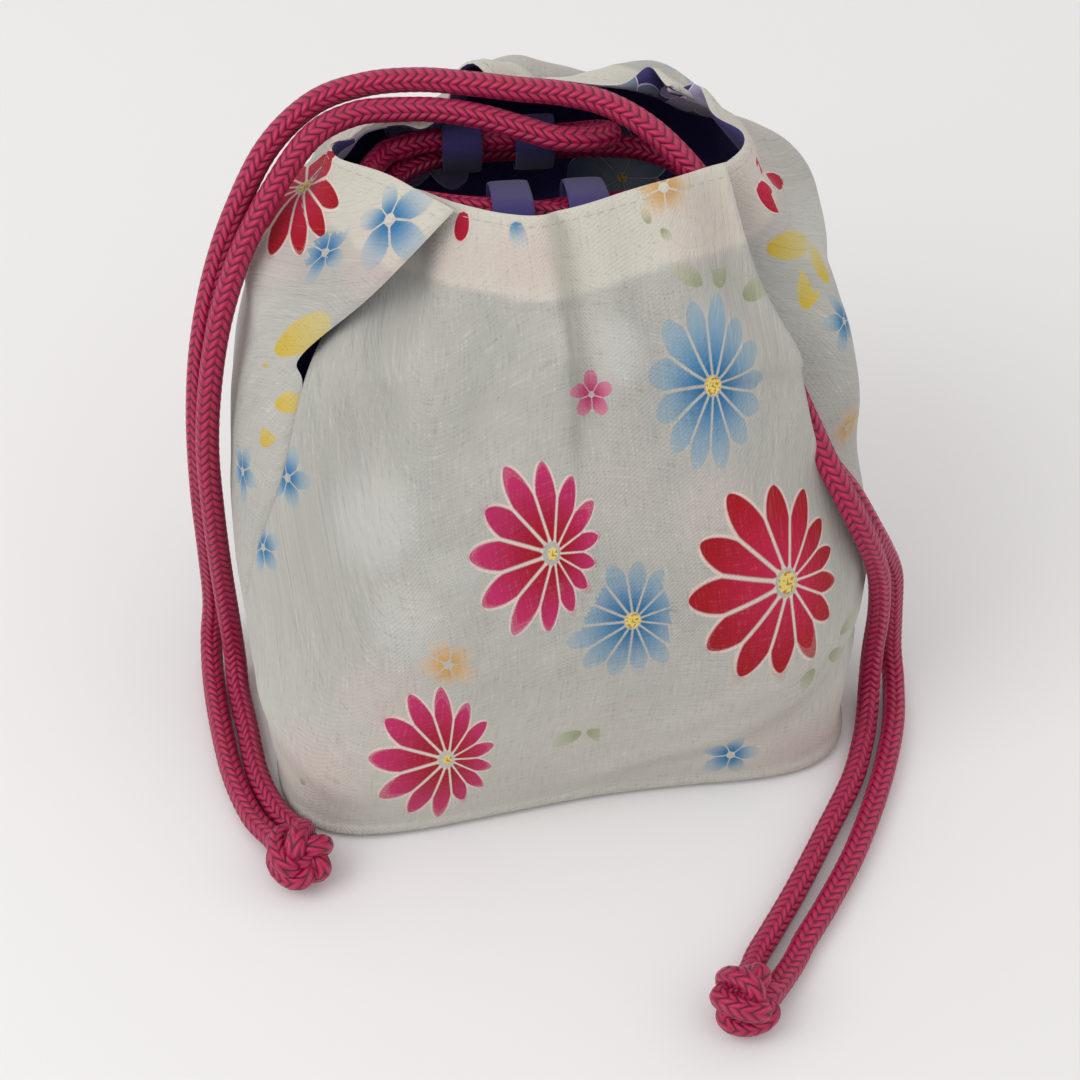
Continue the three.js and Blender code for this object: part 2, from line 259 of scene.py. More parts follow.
def catmull_rom(points, places):
    """The uniform Catmull-Rom curve through points, at places counted in points from the first."""
    p = np.asarray(points, float)
    p = np.concatenate([2 * p[:1] - p[1:2], p, 2 * p[-1:] - p[-2:-1]])
    first = np.clip(np.floor(places).astype(int), 0, len(p) - 4)
    f = (np.asarray(places) - first).reshape(-1, *[1] * (p.ndim - 1))
    a, b, c, d = p[first], p[first + 1], p[first + 2], p[first + 3]
    return 0.5 * (2 * b + (c - a) * f + (2 * a - 5 * b + 4 * c - d) * f**2
                  + (3 * b - a - 3 * c + d) * f**3)


def run_of(points):
    """Length along a line of points, at each of them."""
    steps = np.linalg.norm(np.diff(points, axis=0), axis=-1)
    return np.concatenate([[0], np.cumsum(steps)])


def run_across(grid, axis):
    """Length along a grid's lines the given way, at each of its points."""
    steps = np.linalg.norm(np.diff(grid, axis=axis), axis=2)
    start = np.zeros_like(np.take(steps, [0], axis=axis))
    return np.concatenate([start, np.cumsum(steps, axis=axis)], axis=axis)


def at_shares(points, shares):
    """Points at shares of the length of the smooth curve through points."""
    fine = catmull_rom(points, np.linspace(0, len(points) - 1, 60 * len(points)))
    run = run_of(fine)
    return np.stack([np.interp(shares * run[-1], run, fine[:, k]) for k in range(3)], axis=1)


def body_level(level, is_front):
    """One level of the body between a panel's edges, as part of a rounded rectangle."""
    z, half, middle, front, back, squareness, skew = level
    slit = smooth_step((z - SLIT_LOW_MM) / (SLIT_OPEN_MM - SLIT_LOW_MM))
    lap = smooth_step((z - LAP_LOW_MM) / LAP_RISE_MM)
    lap_turn = FRONT_LAP_TURN if is_front else BACK_LAP_TURN
    start = 180 + LEFT_EDGE_TURN * smooth_step(z / LEFT_EDGE_HEIGHT_MM)
    end = 360 - RIGHT_EDGE_TURN * smooth_step(z / RIGHT_EDGE_HEIGHT_MM) - lap_turn * lap
    if not is_front:
        end -= 360
    share = np.linspace(0, 1, 61)
    angle = np.radians(start + (end - start) * share)
    cos, sin = np.cos(angle), np.sin(angle)
    power = 2 / squareness
    x = middle + half * np.sign(cos) * np.abs(cos) ** power
    front = front * (1 - skew * smooth_step((x - SKEW_FROM_MM) / SKEW_WIDTH_MM))
    y = np.where(sin < 0, front, back) * np.sign(sin) * np.abs(sin) ** power
    if is_front:
        y -= LIFT_MM * slit * smooth_step((share - LIFT_START) / LIFT_SPAN)
    else:
        tucked = TUCK_MM * lap * smooth_step((share - TUCK_START) / TUCK_SPAN)
        x, y = x + tucked * TUCK_WAY[0], y + tucked * TUCK_WAY[1]
    return np.stack([x, y, np.full_like(x, z)], axis=1)


def panel_form(is_front, columns, rows):
    """The panel's form in metres as a grid, from the base seam up and from its left edge to its
    right one as seen from outside."""
    shares = np.linspace(0, 1, columns + 1)
    seam = [(x, 0, BASE_HEIGHT_MM) for x in (-BASE_SEAM_HALF_MM, 0, BASE_SEAM_HALF_MM)]
    levels = [seam, *(body_level(level, is_front) for level in BODY_LEVELS_MM)]
    levels += FRONT_TOP_MM if is_front else BACK_TOP_MM
    across = np.stack([at_shares(level, shares) for level in levels])
    if not is_front:
        across = across[:, ::-1]
    places = np.linspace(0, len(levels) - 1, 2000)
    run = run_of(catmull_rom(across[:, columns // 2], places))
    even = np.interp(np.linspace(0, run[-1], rows + 1), run, places)
    grid = catmull_rom(across, even)
    grid[..., 2] = np.maximum(grid[..., 2], BASE_HEIGHT_MM)
    return grid * MM


def grid_normals(grid):
    """Outward unit normals of a panel's grid."""
    normal = np.cross(np.gradient(grid, axis=1), np.gradient(grid, axis=0))
    return normal / np.maximum(np.linalg.norm(normal, axis=2, keepdims=True), 1e-12)


def soft_noise(grid, size, seed):
    """Smooth noise from -1 to 1 over a grid of points, with features of the given size."""
    shift = Vector((seed * 7.1, seed * 3.7, seed * 5.3))
    flat = grid.reshape(-1, 3) / size
    values = [noise.noise(Vector(p) + shift) for p in flat]
    return np.array(values).reshape(grid.shape[:2])


# Folds that run down from the gathered neck. Each has its place across the panel, its width to
# the left and to the right, its height, and how far down it reaches.
FRONT_FOLDS_MM = [
    (0.06, 5, 7, 1.6, 70), (0.17, 9, 6, -2.4, 60), (0.30, 9, 9, 1.5, 75),
    (0.525, 12, 2.0, 4.2, 88), (0.552, 2.2, 9, -3.4, 84), (0.62, 9, 8, 1.6, 80),
    (0.73, 6, 9, -1.8, 62), (0.86, 9, 7, 1.8, 55), (0.95, 5, 5, -1.2, 70),
]
BACK_FOLDS_MM = [
    (0.07, 7, 5, 2.0, 66), (0.13, 5, 7, -2.2, 60), (0.21, 6, 9, 2.6, 70),
    (0.29, 6, 6, -2.4, 76), (0.37, 9, 6, 2.6, 58), (0.44, 5, 7, -2.8, 70),
    (0.52, 7, 9, 2.8, 62), (0.60, 6, 6, -2.6, 74), (0.67, 8, 6, 2.4, 60),
    (0.75, 6, 6, -2.2, 70), (0.83, 7, 7, 2.0, 66), (0.91, 6, 5, -1.8, 60),
]
# Creases across the front, low down: places across and heights, then height and width.
FRONT_CREASES_MM = [
    ([(0.50, 10), (0.66, 20), (0.78, 30), (0.98, 48)], 1.5, 5.0),
    ([(0.56, 22), (0.70, 31), (0.84, 42), (0.97, 58)], 0.7, 4.0),
    ([(0.03, 34), (0.14, 26), (0.26, 16)], 0.8, 5.0),
]
BACK_CREASES_MM = [
    ([(0.08, 20), (0.22, 28), (0.4, 24)], 1.0, 6.0),
    ([(0.55, 34), (0.72, 24), (0.9, 30)], 1.2, 6.0),
]


def fold_heights(grid, is_front):
    """How far the cloth stands out from its form at each point of the grid, in metres."""
    rows, columns = grid.shape[:2]
    share = np.linspace(0, 1, columns)[None, :]
    high = grid[..., 2] / MM
    width = np.linalg.norm(np.diff(grid, axis=1), axis=2).sum(1)[:, None] / MM
    total = np.zeros((rows, columns))
    for place, left, right, height, low in FRONT_FOLDS_MM if is_front else BACK_FOLDS_MM:
        off = (share - place) * width
        side = np.where(off < 0, left, right) * (1 + 1.2 * smooth_step((130 - high) / 70))
        reach = smooth_step((high - low) / (126 - low))
        total += height * np.exp(-(off / side) ** 2) * reach
    for line, height, spread in FRONT_CREASES_MM if is_front else BACK_CREASES_MM:
        line = np.array(line)
        centre = np.interp(share[0], line[:, 0], line[:, 1])[None, :]
        within = smooth_step((share - line[0, 0]) / 0.08)
        within = within * smooth_step((line[-1, 0] + 0.06 - share) / 0.08)
        off = (high - centre) / spread
        total += height * within * (np.exp(-off**2) - 0.8 * np.exp(-(off + 1.5) ** 2))
    seed = 1 if is_front else 2
    neck = smooth_step((high - 60) / 70)
    total += (0.7 + 0.6 * neck) * soft_noise(grid * (1, 1, 0.6), 0.024, seed)
    total += (0.25 + 0.2 * neck) * soft_noise(grid * (1, 1, 0.7), 0.009, seed + 4)
    lying = smooth_step((high - BASE_HEIGHT_MM) / 12)
    rim = smooth_step((161 - high) / 6)
    edges = smooth_step(share / 0.03) * smooth_step((1 - share) / 0.03)
    return total * lying * (0.35 + 0.65 * rim) * (0.25 + 0.75 * edges) * MM


# ---- meshes -------------------------------------------------------------------------------------

def new_object(name, vertices, faces, material, smooth=True):
    """A mesh object with its place in its mesh."""
    mesh = bpy.data.meshes.new(name)
    mesh.from_pydata([tuple(v) for v in vertices], [], faces)
    mesh.materials.append(material)
    mesh.polygons.foreach_set("use_smooth", [smooth] * len(mesh.polygons))
    mesh.update()
    made = bpy.data.objects.new(name, mesh)
    bpy.context.scene.collection.objects.link(made)
    return made


def grid_faces(rows, columns, first=0, flip=False, closed=False):
    """Quads over a grid of vertices with that many cells each way."""
    across = columns if closed else columns + 1
    faces = []
    for r in range(rows):
        for c in range(columns):
            a = first + r * across + c
            b = first + r * across + (c + 1) % across
            quad = (a, b, b + across, a + across)
            faces.append(quad[::-1] if flip else quad)
    return faces


def sheet_shell(name, outer, inner, material):
    """A closed sheet between two grids of points, sewn together around their edges."""
    rows, columns = outer.shape[0] - 1, outer.shape[1] - 1
    count = outer.shape[0] * outer.shape[1]
    faces = grid_faces(rows, columns) + grid_faces(rows, columns, count, flip=True)
    index = np.arange(count).reshape(outer.shape[:2])
    rim = np.concatenate([index[0, :-1], index[:-1, -1], index[-1, :0:-1], index[:0:-1, 0]])
    for a, b in zip(rim, np.roll(rim, -1)):
        faces.append((int(b), int(a), int(a + count), int(b + count)))
    vertices = np.concatenate([outer.reshape(-1, 3), inner.reshape(-1, 3)])
    return new_object(name, vertices, faces, material)


def corner_attribute(mesh, name, kind, values):
    """Stores one value for each face corner."""
    layer = mesh.attributes.new(name, kind, "CORNER")
    key = "color" if kind == "FLOAT_COLOR" else "vector"
    layer.data.foreach_set(key, np.asarray(values, np.float32).ravel())


def cloth_uv(mesh, grid):
    """A UV map in metres of cloth, on both faces of a shell made from the grid."""
    across = run_across(grid, 1)
    across -= across[:, -1:] / 2
    up = run_across(grid, 0)
    flat = np.stack([across, up], axis=2).reshape(-1, 2)
    flat = np.concatenate([flat, flat])
    corners = np.zeros(len(mesh.loops), int)
    mesh.loops.foreach_get("vertex_index", corners)
    layer = mesh.uv_layers.new(name="cloth")
    layer.data.foreach_set("uv", flat[corners].astype(np.float32).ravel())


def tube(name, centre, radii, closed, material, start_side=(0, 0, 1)):
    """A tube round a line of points. radii has a row for each point and a column for each side."""
    count, sides = radii.shape
    step = np.roll(centre, -1, 0) - np.roll(centre, 1, 0) if closed else np.gradient(centre, axis=0)
    tangent = step / np.linalg.norm(step, axis=1, keepdims=True)
    across = np.zeros_like(centre)
    side = np.array(start_side, float)
    for i, direction in enumerate(tangent):
        side = side - direction * (side @ direction)
        side /= np.linalg.norm(side)
        across[i] = side
    up = np.cross(tangent, across)
    angle = np.arange(sides) / sides * 2 * math.pi
    ring = (np.cos(angle)[None, :, None] * across[:, None] + np.sin(angle)[None, :, None]
            * up[:, None])
    vertices = (centre[:, None] + ring * radii[..., None]).reshape(-1, 3)
    faces = grid_faces(count - 1, sides, closed=True)
    if closed:
        faces += [((count - 1) * sides + c, (count - 1) * sides + (c + 1) % sides,
                   (c + 1) % sides, c) for c in range(sides)]
    else:
        faces.append(tuple(range(sides - 1, -1, -1)))
        faces.append(tuple((count - 1) * sides + c for c in range(sides)))
    return new_object(name, vertices, faces, material)


# ---- materials ----------------------------------------------------------------------------------

class Steps:
    """Adds nodes to a tree one after another, each fed by what came before."""

    def __init__(self, tree):
        self.tree = tree

    def node(self, kind, *inputs, **settings):
        made = self.tree.nodes.new(kind)
        for name, value in settings.items():
            setattr(made, name, value)
        for socket, value in zip(made.inputs, inputs):
            self.feed(socket, value)
        return made

    def feed(self, socket, value):
        if isinstance(value, bpy.types.NodeSocket):
            self.tree.links.new(value, socket)
        elif value is not None:
            socket.default_value = value

    def math(self, operation, *values, clamp=False):
        return self.node("ShaderNodeMath", *values, operation=operation,
                         use_clamp=clamp).outputs[0]

    def ramp(self, value, low, high):
        made = self.node("ShaderNodeMapRange", value, low, high, 0.0, 1.0,
                         interpolation_type="SMOOTHSTEP")
        return made.outputs[0]

    def mix(self, share, first, second, blend="MIX"):
        made = self.tree.nodes.new("ShaderNodeMix")
        made.data_type, made.blend_type = "RGBA", blend
        for place, value in ((0, share), (6, first), (7, second)):
            self.feed(made.inputs[place], value)
        return made.outputs[2]

    def attribute(self, name):
        return self.node("ShaderNodeAttribute", attribute_name=name)

    def noise(self, vector, scale, detail=2.0, roughness=0.5):
        made = self.node("ShaderNodeTexNoise")
        for name, value in (("Vector", vector), ("Scale", scale), ("Detail", detail),
                            ("Roughness", roughness)):
            self.feed(made.inputs[name], value)
        return made.outputs[0]

    def stretched(self, vector, scale):
        made = self.node("ShaderNodeMapping", vector)
        made.inputs["Scale"].default_value = scale
        return made.outputs[0]


def rgba(colour):
    return (*colour, 1.0)


def new_material(name, **constants):
    """A material with a Principled shader, and the values that are the same all over it."""
    material = bpy.data.materials.new(name)
    material.use_nodes = True
    shader = material.node_tree.nodes["Principled BSDF"]
    for socket, value in constants.items():
        shader.inputs[socket.replace("_", " ")].default_value = value
    return material, Steps(material.node_tree), shader


def bloom_group():
    """Draws one flower or leaf over a ground colour, from its place, form and colours."""
    name = "bloom"
    if name in bpy.data.node_groups:
        return bpy.data.node_groups[name]
    tree = bpy.data.node_groups.new(name, "ShaderNodeTree")
    sockets = [("Ground", "NodeSocketColor"), ("Place", "NodeSocketVector"),
               ("Form", "NodeSocketVector"), ("Detail", "NodeSocketVector"),
               ("Inner", "NodeSocketColor"), ("Inner fill", "NodeSocketFloat"),
               ("Outer", "NodeSocketColor"), ("Outer fill", "NodeSocketFloat"),
               ("Edge", "NodeSocketColor")]
    for label, kind in sockets:
        tree.interface.new_socket(label, in_out="INPUT", socket_type=kind)
    tree.interface.new_socket("Colour", in_out="OUTPUT", socket_type="NodeSocketColor")
    s = Steps(tree)
    given = {o.name: o for o in s.node("NodeGroupInput").outputs}
    x, y, count = s.node("ShaderNodeSeparateXYZ", given["Place"]).outputs
    width, inner, fullness = s.node("ShaderNodeSeparateXYZ", given["Form"]).outputs
    heart, line, seed = s.node("ShaderNodeSeparateXYZ", given["Detail"]).outputs
    away = s.math("SQRT", s.math("ADD", s.math("MULTIPLY", x, x), s.math("MULTIPLY", y, y)))
    angle = s.math("ARCTAN2", y, x)
    step = s.math("DIVIDE", 2 * math.pi, count)
    petal = s.math("ROUND", s.math("DIVIDE", angle, step))
    off = s.math("SUBTRACT", angle, s.math("MULTIPLY", petal, step))
    which = s.math("MODULO", s.math("ADD", petal, s.math("MULTIPLY", count, 2.0)), count)
    chance = s.node("ShaderNodeTexWhiteNoise",
                    s.node("ShaderNodeCombineXYZ", which, seed, 0.0).outputs[0],
                    noise_dimensions="3D").outputs[0]
    long = s.math("SUBTRACT", 1.0, s.math("MULTIPLY", chance, 0.17))
    share = s.math("DIVIDE", s.math("SUBTRACT", away, inner), s.math("SUBTRACT", long, inner))
    aside = s.math("ABSOLUTE", s.math("MULTIPLY", away, s.math("SINE", off)))
    skewed = s.math("POWER", s.math("MAXIMUM", share, 0.0), 1.35)
    belly = s.math("MULTIPLY", s.math("MULTIPLY", skewed, s.math("SUBTRACT", 1.0, skewed)), 4.0)
    half = s.math("MULTIPLY", width, s.math("POWER", s.math("MAXIMUM", belly, 0.0), fullness))
    sector = s.math("SINE", s.math("MINIMUM", s.math("MULTIPLY", step, 0.5), math.pi / 2))
    room = s.math("SUBTRACT", s.math("MULTIPLY", away, sector), 0.014)
    half = s.math("MINIMUM", half, room)
    within = s.math("MULTIPLY", s.ramp(share, 0.0, 0.02), s.ramp(share, 1.0, 0.99))
    within = s.math("MULTIPLY", within, s.ramp(s.math("COSINE", off), 0.0, 0.05))
    edge = s.math("SUBTRACT", half, aside)
    inside = s.math("MULTIPLY", s.ramp(edge, -0.006, 0.012), within)
    share = s.ramp(share, 0.0, 1.0)
    fill = s.math("ADD", given["Inner fill"], s.math("MULTIPLY", share, s.math(
        "SUBTRACT", given["Outer fill"], given["Inner fill"])))
    colour = s.mix(share, given["Inner"], given["Outer"])
    colour = s.mix(s.math("MULTIPLY", chance, 0.35), colour,
                   s.mix(1.0, colour, (0.62, 0.62, 0.62, 1), "MULTIPLY"))
    made = s.mix(s.math("MULTIPLY", inside, fill, clamp=True), given["Ground"], colour)
    across = s.math("ABSOLUTE", s.math("DIVIDE", s.math("ADD", edge, 0.016), 0.014))
    rim = s.math("SUBTRACT", 1.4, across, clamp=True)
    rim = s.math("MULTIPLY", s.math("MULTIPLY", rim, within), line, clamp=True)
    made = s.mix(rim, made, given["Edge"])
    freckle = s.ramp(s.noise(given["Place"], 26.0, 0.0), 0.52, 0.62)
    yolk = s.mix(freckle, (0.72, 0.58, 0.16, 1), (0.42, 0.22, 0.03, 1))
    made = s.mix(s.ramp(s.math("SUBTRACT", heart, away), 0.0, 0.02), made, yolk)
    s.node("NodeGroupOutput", made)
    return tree


def print_over(steps, ground, layers):
    """The print's layers, one bloom group for each, laid over the ground colour."""
    for layer in layers:
        group = steps.node("ShaderNodeGroup", node_tree=bloom_group())
        inner = steps.attribute(layer + "_inner")
        outer = steps.attribute(layer + "_outer")
        given = {
            "Ground": ground,
            "Place": steps.attribute(layer + "_place").outputs["Vector"],
            "Form": steps.attribute(layer + "_form").outputs["Vector"],
            "Detail": steps.attribute(layer + "_detail").outputs["Vector"],
            "Inner": inner.outputs["Color"], "Inner fill": inner.outputs["Alpha"],
            "Outer": outer.outputs["Color"], "Outer fill": outer.outputs["Alpha"],
            "Edge": steps.attribute(layer + "_edge").outputs["Vector"],
        }
        for label, value in given.items():
            steps.feed(group.inputs[label], value)
        ground = group.outputs[0]
    return ground


def weave(steps, cloth, thread):
    """Threads across and along the cloth: how much lighter each is, and their relief."""
    per_metre = 1 / thread
    warp = steps.noise(steps.stretched(cloth, (per_metre, per_metre * 0.09, 1)), 1.0, 2.0)
    weft = steps.noise(steps.stretched(cloth, (per_metre * 0.09, per_metre, 1)), 1.0, 2.0)
    tone = steps.math("ADD", warp, weft)
    fine = steps.stretched(cloth, (math.pi * per_metre, math.pi * per_metre, 1))
    x, y, _ = steps.node("ShaderNodeSeparateXYZ", fine).outputs
    over = steps.math("MULTIPLY", steps.math("SINE", x), steps.math("SINE", y))
    relief = steps.math("ADD", tone, steps.math("MULTIPLY", over, 0.45))
    return tone, relief


def bump(steps, height, strength, distance, shader):
    made = steps.node("ShaderNodeBump")
    made.inputs["Strength"].default_value = strength
    made.inputs["Distance"].default_value = distance
    steps.feed(made.inputs["Height"], height)
    steps.feed(shader.inputs["Normal"], made.outputs[0])


def cotton_material(cloth):
    """Thin slubby off-white cotton with a scattered floral print."""
    material, s, shader = new_material("printed_cotton", Roughness=0.88, Sheen_Weight=0.12,
                                       Sheen_Roughness=0.5, Specular_IOR_Level=0.2)
    uv = s.node("ShaderNodeUVMap", uv_map="cloth").outputs[0]
    hem, ghost, blush = s.node("ShaderNodeSeparateXYZ",
                               s.attribute("tone").outputs["Vector"]).outputs
    tone, relief = weave(s, uv, 0.00056)
    cloud = s.noise(uv, 38.0, 3.0, 0.6)
    # The hem share is cream where the cloth lies double, and low down it also carries painted light.
    ground = s.mix(hem, rgba(cloth.grey), rgba(cloth.cream))
    ground = s.mix(ghost, ground, (0.60, 0.60, 0.57, 1))
    ground = s.mix(blush, ground, rgba(cloth.blush))
    ground = s.mix(s.math("MULTIPLY", s.ramp(cloud, 0.35, 0.7), 0.30), ground,
                   (0.56, 0.54, 0.48, 1))
    slub = s.ramp(tone, 1.06, 1.42)
    ground = s.mix(s.math("MULTIPLY", slub, 0.36), ground, (0.66, 0.65, 0.59, 1))
    printed = print_over(s, ground, ("leaf", "bloom"))
    printed = s.mix(s.math("MULTIPLY", slub, 0.08), printed, (0.72, 0.70, 0.64, 1))
    gap = s.math("MULTIPLY", s.ramp(tone, 0.94, 0.66), 0.36)
    printed = s.mix(gap, printed, s.mix(1.0, printed, (0.5, 0.49, 0.5, 1), "MULTIPLY"))
    s.feed(shader.inputs["Base Color"], printed)
    bump(s, relief, 0.5, 0.0003, shader)
    return material


def lining_material(cloth):
    """Plain-woven navy cotton with pale outlined flowers."""
    material, s, shader = new_material("navy_lining", Roughness=0.8, Sheen_Weight=0.1,
                                       Sheen_Roughness=0.5, Specular_IOR_Level=0.25)
    uv = s.node("ShaderNodeUVMap", uv_map="cloth").outputs[0]
    tone, relief = weave(s, uv, 0.00036)
    ground = s.mix(s.math("MULTIPLY", s.ramp(tone, 0.9, 1.4), 0.35), rgba(cloth.navy),
                   (0.05, 0.045, 0.13, 1))
    printed = print_over(s, ground, ("leaf", "bloom"))
    shade = s.math("MULTIPLY", s.ramp(tone, 0.95, 0.7), 0.3)
    printed = s.mix(shade, printed, s.mix(1.0, printed, (0.6, 0.6, 0.6, 1), "MULTIPLY"))
    s.feed(shader.inputs["Base Color"], printed)
    bump(s, relief, 0.3, 0.0002, shader)
    return material


def tab_material(cloth):
    """The lining's navy cloth, plain, on the tabs."""
    material, s, shader = new_material("navy_tab", Roughness=0.8, Sheen_Weight=0.15,
                                       Sheen_Roughness=0.5, Specular_IOR_Level=0.25)
    place = s.node("ShaderNodeTexCoord").outputs["Object"]
    tone, relief = weave(s, place, 0.0004)
    ground = s.mix(s.math("MULTIPLY", s.ramp(tone, 0.85, 1.35), 0.5), rgba(cloth.navy),
                   (0.045, 0.04, 0.12, 1))
    s.feed(shader.inputs["Base Color"], ground)
    bump(s, relief, 0.3, 0.0002, shader)
    return material


def braid_material(cord):
    """Crimson braid: strands with a painted pink highlight on their crests and painted shade between
    them, with fine fibres along each strand.
    """
    name = "drawcord_braid"
    if name in bpy.data.materials:
        return bpy.data.materials[name]
    material, s, shader = new_material(name, Roughness=0.42, Sheen_Weight=0.12,
                                       Sheen_Roughness=0.35, Specular_IOR_Level=0.45)
    shader.inputs["Sheen Tint"].default_value = (1.0, 0.45, 0.6, 1)
    turns, cosine, sine = s.node("ShaderNodeSeparateXYZ",
                                 s.attribute("braid").outputs["Vector"]).outputs
    column = s.math("MULTIPLY", s.math("ARCTAN2", sine, cosine), cord.columns / (2 * math.pi))
    lean = s.math("MULTIPLY", s.math("PINGPONG", column, 1.0), 0.9)
    slant = s.math("FRACT", s.math("ADD", turns, lean))
    hump = s.math("POWER", s.math("SINE", s.math("MULTIPLY", slant, math.pi)), 0.8)
    crest = s.math("SINE", s.math("MULTIPLY", s.math("FRACT", column), math.pi))
    crown = s.math("MULTIPLY", hump, s.math("ADD", 0.45, s.math("MULTIPLY", crest, 0.55)))
    place = s.node("ShaderNodeTexCoord").outputs["Object"]
    fibre = s.noise(s.node("ShaderNodeCombineXYZ", s.math("MULTIPLY", slant, 9.0),
                           s.math("MULTIPLY", crown, 1.5), 0.0).outputs[0], 2.0, 2.0)
    mottle = s.noise(place, 220.0, 2.0)
    # Painted shade: the grooves between the strands are painted dark, the crests crimson.
    body = s.mix(s.ramp(crown, 0.1, 0.62), rgba(cord.shade), rgba(cord.crimson))
    # Painted highlight: pink on the crests of the strands, broken by the fibres.
    painted_highlight = s.math("MULTIPLY", s.ramp(crown, 0.6, 1.0), s.ramp(fibre, 0.35, 0.75))
    body = s.mix(s.math("MULTIPLY", painted_highlight, 0.55), body, (0.80, 0.06, 0.22, 1))
    body = s.mix(s.math("MULTIPLY", s.ramp(mottle, 0.4, 0.7), 0.25), body,
                 s.mix(1.0, body, (0.7, 0.6, 0.65, 1), "MULTIPLY"))
    s.feed(shader.inputs["Base Color"], body)
    bump(s, s.math("ADD", crown, s.math("MULTIPLY", fibre, 0.15)), 0.8, 0.0006, shader)
    return material


def thread_material():
    """Pale sewing thread with a fine twist."""
    material, s, shader = new_material("sewing_thread", Roughness=0.6, Sheen_Weight=0.2,
                                       Specular_IOR_Level=0.3)
    place = s.node("ShaderNodeTexCoord").outputs["Object"]
    twist = s.noise(s.stretched(place, (2600, 2600, 5200)), 1.0, 1.0)
    s.feed(shader.inputs["Base Color"],
           s.mix(s.ramp(twist, 0.3, 0.7), (0.40, 0.385, 0.34, 1), (0.50, 0.48, 0.43, 1)))
    bump(s, twist, 0.3, 0.0001, shader)
    return material


# ---- the print ----------------------------------------------------------------------------------
# A kind of flower or leaf: count of petals, petal half width, inner end, fullness, heart, line,
# then inner colour with its strength and outer colour with its strength.

KINDS = {
    "red_chrysanthemum": (13, 0.138, 0.13, 0.62, 0.115, 0.70,
                          (0.50, 0.010, 0.060, 1.0), (0.36, 0.001, 0.008, 1.0)),
    "rose_chrysanthemum": (13, 0.132, 0.12, 0.62, 0.080, 0.70,
                           (0.34, 0.001, 0.008, 1.0), (0.50, 0.025, 0.130, 1.0)),
    "blue_daisy": (13, 0.165, 0.13, 0.50, 0.130, 0.45,
                   (0.020, 0.150, 0.330, 1.0), (0.07, 0.30, 0.50, 0.35)),
    "blue_bell": (5, 0.27, 0.12, 0.42, 0.0, 0.30,
                  (0.025, 0.170, 0.360, 1.0), (0.10, 0.34, 0.52, 0.20)),
    "pink_bell": (5, 0.30, 0.12, 0.42, 0.0, 0.30,
                  (0.46, 0.040, 0.150, 1.0), (0.62, 0.13, 0.26, 0.75)),
    "orange_bell": (5, 0.28, 0.12, 0.42, 0.0, 0.35,
                    (0.56, 0.32, 0.10, 0.95), (0.70, 0.46, 0.26, 0.05)),
    "line_bell": (5, 0.30, 0.10, 0.42, 0.0, 0.40,
                  (0.62, 0.50, 0.42, 0.0), (0.6, 0.5, 0.45, 0.0)),
    "line_daisy": (13, 0.15, 0.12, 0.42, 0.0, 0.32,
                   (0.62, 0.50, 0.42, 0.0), (0.6, 0.5, 0.45, 0.0)),
    "green_leaf": (1, 0.24, 0.0, 0.62, 0.0, 0.2,
                   (0.27, 0.30, 0.16, 0.85), (0.44, 0.46, 0.30, 0.45)),
    "gold_leaf": (1, 0.22, 0.0, 0.60, 0.0, 0.1,
                  (0.58, 0.42, 0.05, 1.0), (0.62, 0.50, 0.12, 0.65)),
    "red_petal": (1, 0.24, 0.0, 0.50, 0.0, 0.6,
                  (0.50, 0.010, 0.050, 1.0), (0.40, 0.004, 0.022, 1.0)),
    "blue_petal": (1, 0.24, 0.0, 0.45, 0.0, 0.3,
                   (0.05, 0.240, 0.420, 1.0), (0.5, 0.6, 0.62, 0.1)),
    "white_bell": (5, 0.34, 0.06, 0.42, 0.10, 0.9,
                   (0.60, 0.58, 0.66, 0.95), (0.36, 0.31, 0.52, 0.95)),
    "slate_bell": (5, 0.34, 0.06, 0.42, 0.10, 0.9,
                   (0.36, 0.42, 0.50, 0.95), (0.12, 0.18, 0.27, 0.95)),
}
# Outlines: pale pink round the petals of the full flowers, tan round the faint ones.
OUTLINES = {"red": (0.80, 0.60, 0.53), "ros": (0.80, 0.60, 0.53), "whi": (0.78, 0.77, 0.80),
            "sla": (0.66, 0.66, 0.72)}
TAN = (0.52, 0.42, 0.34)

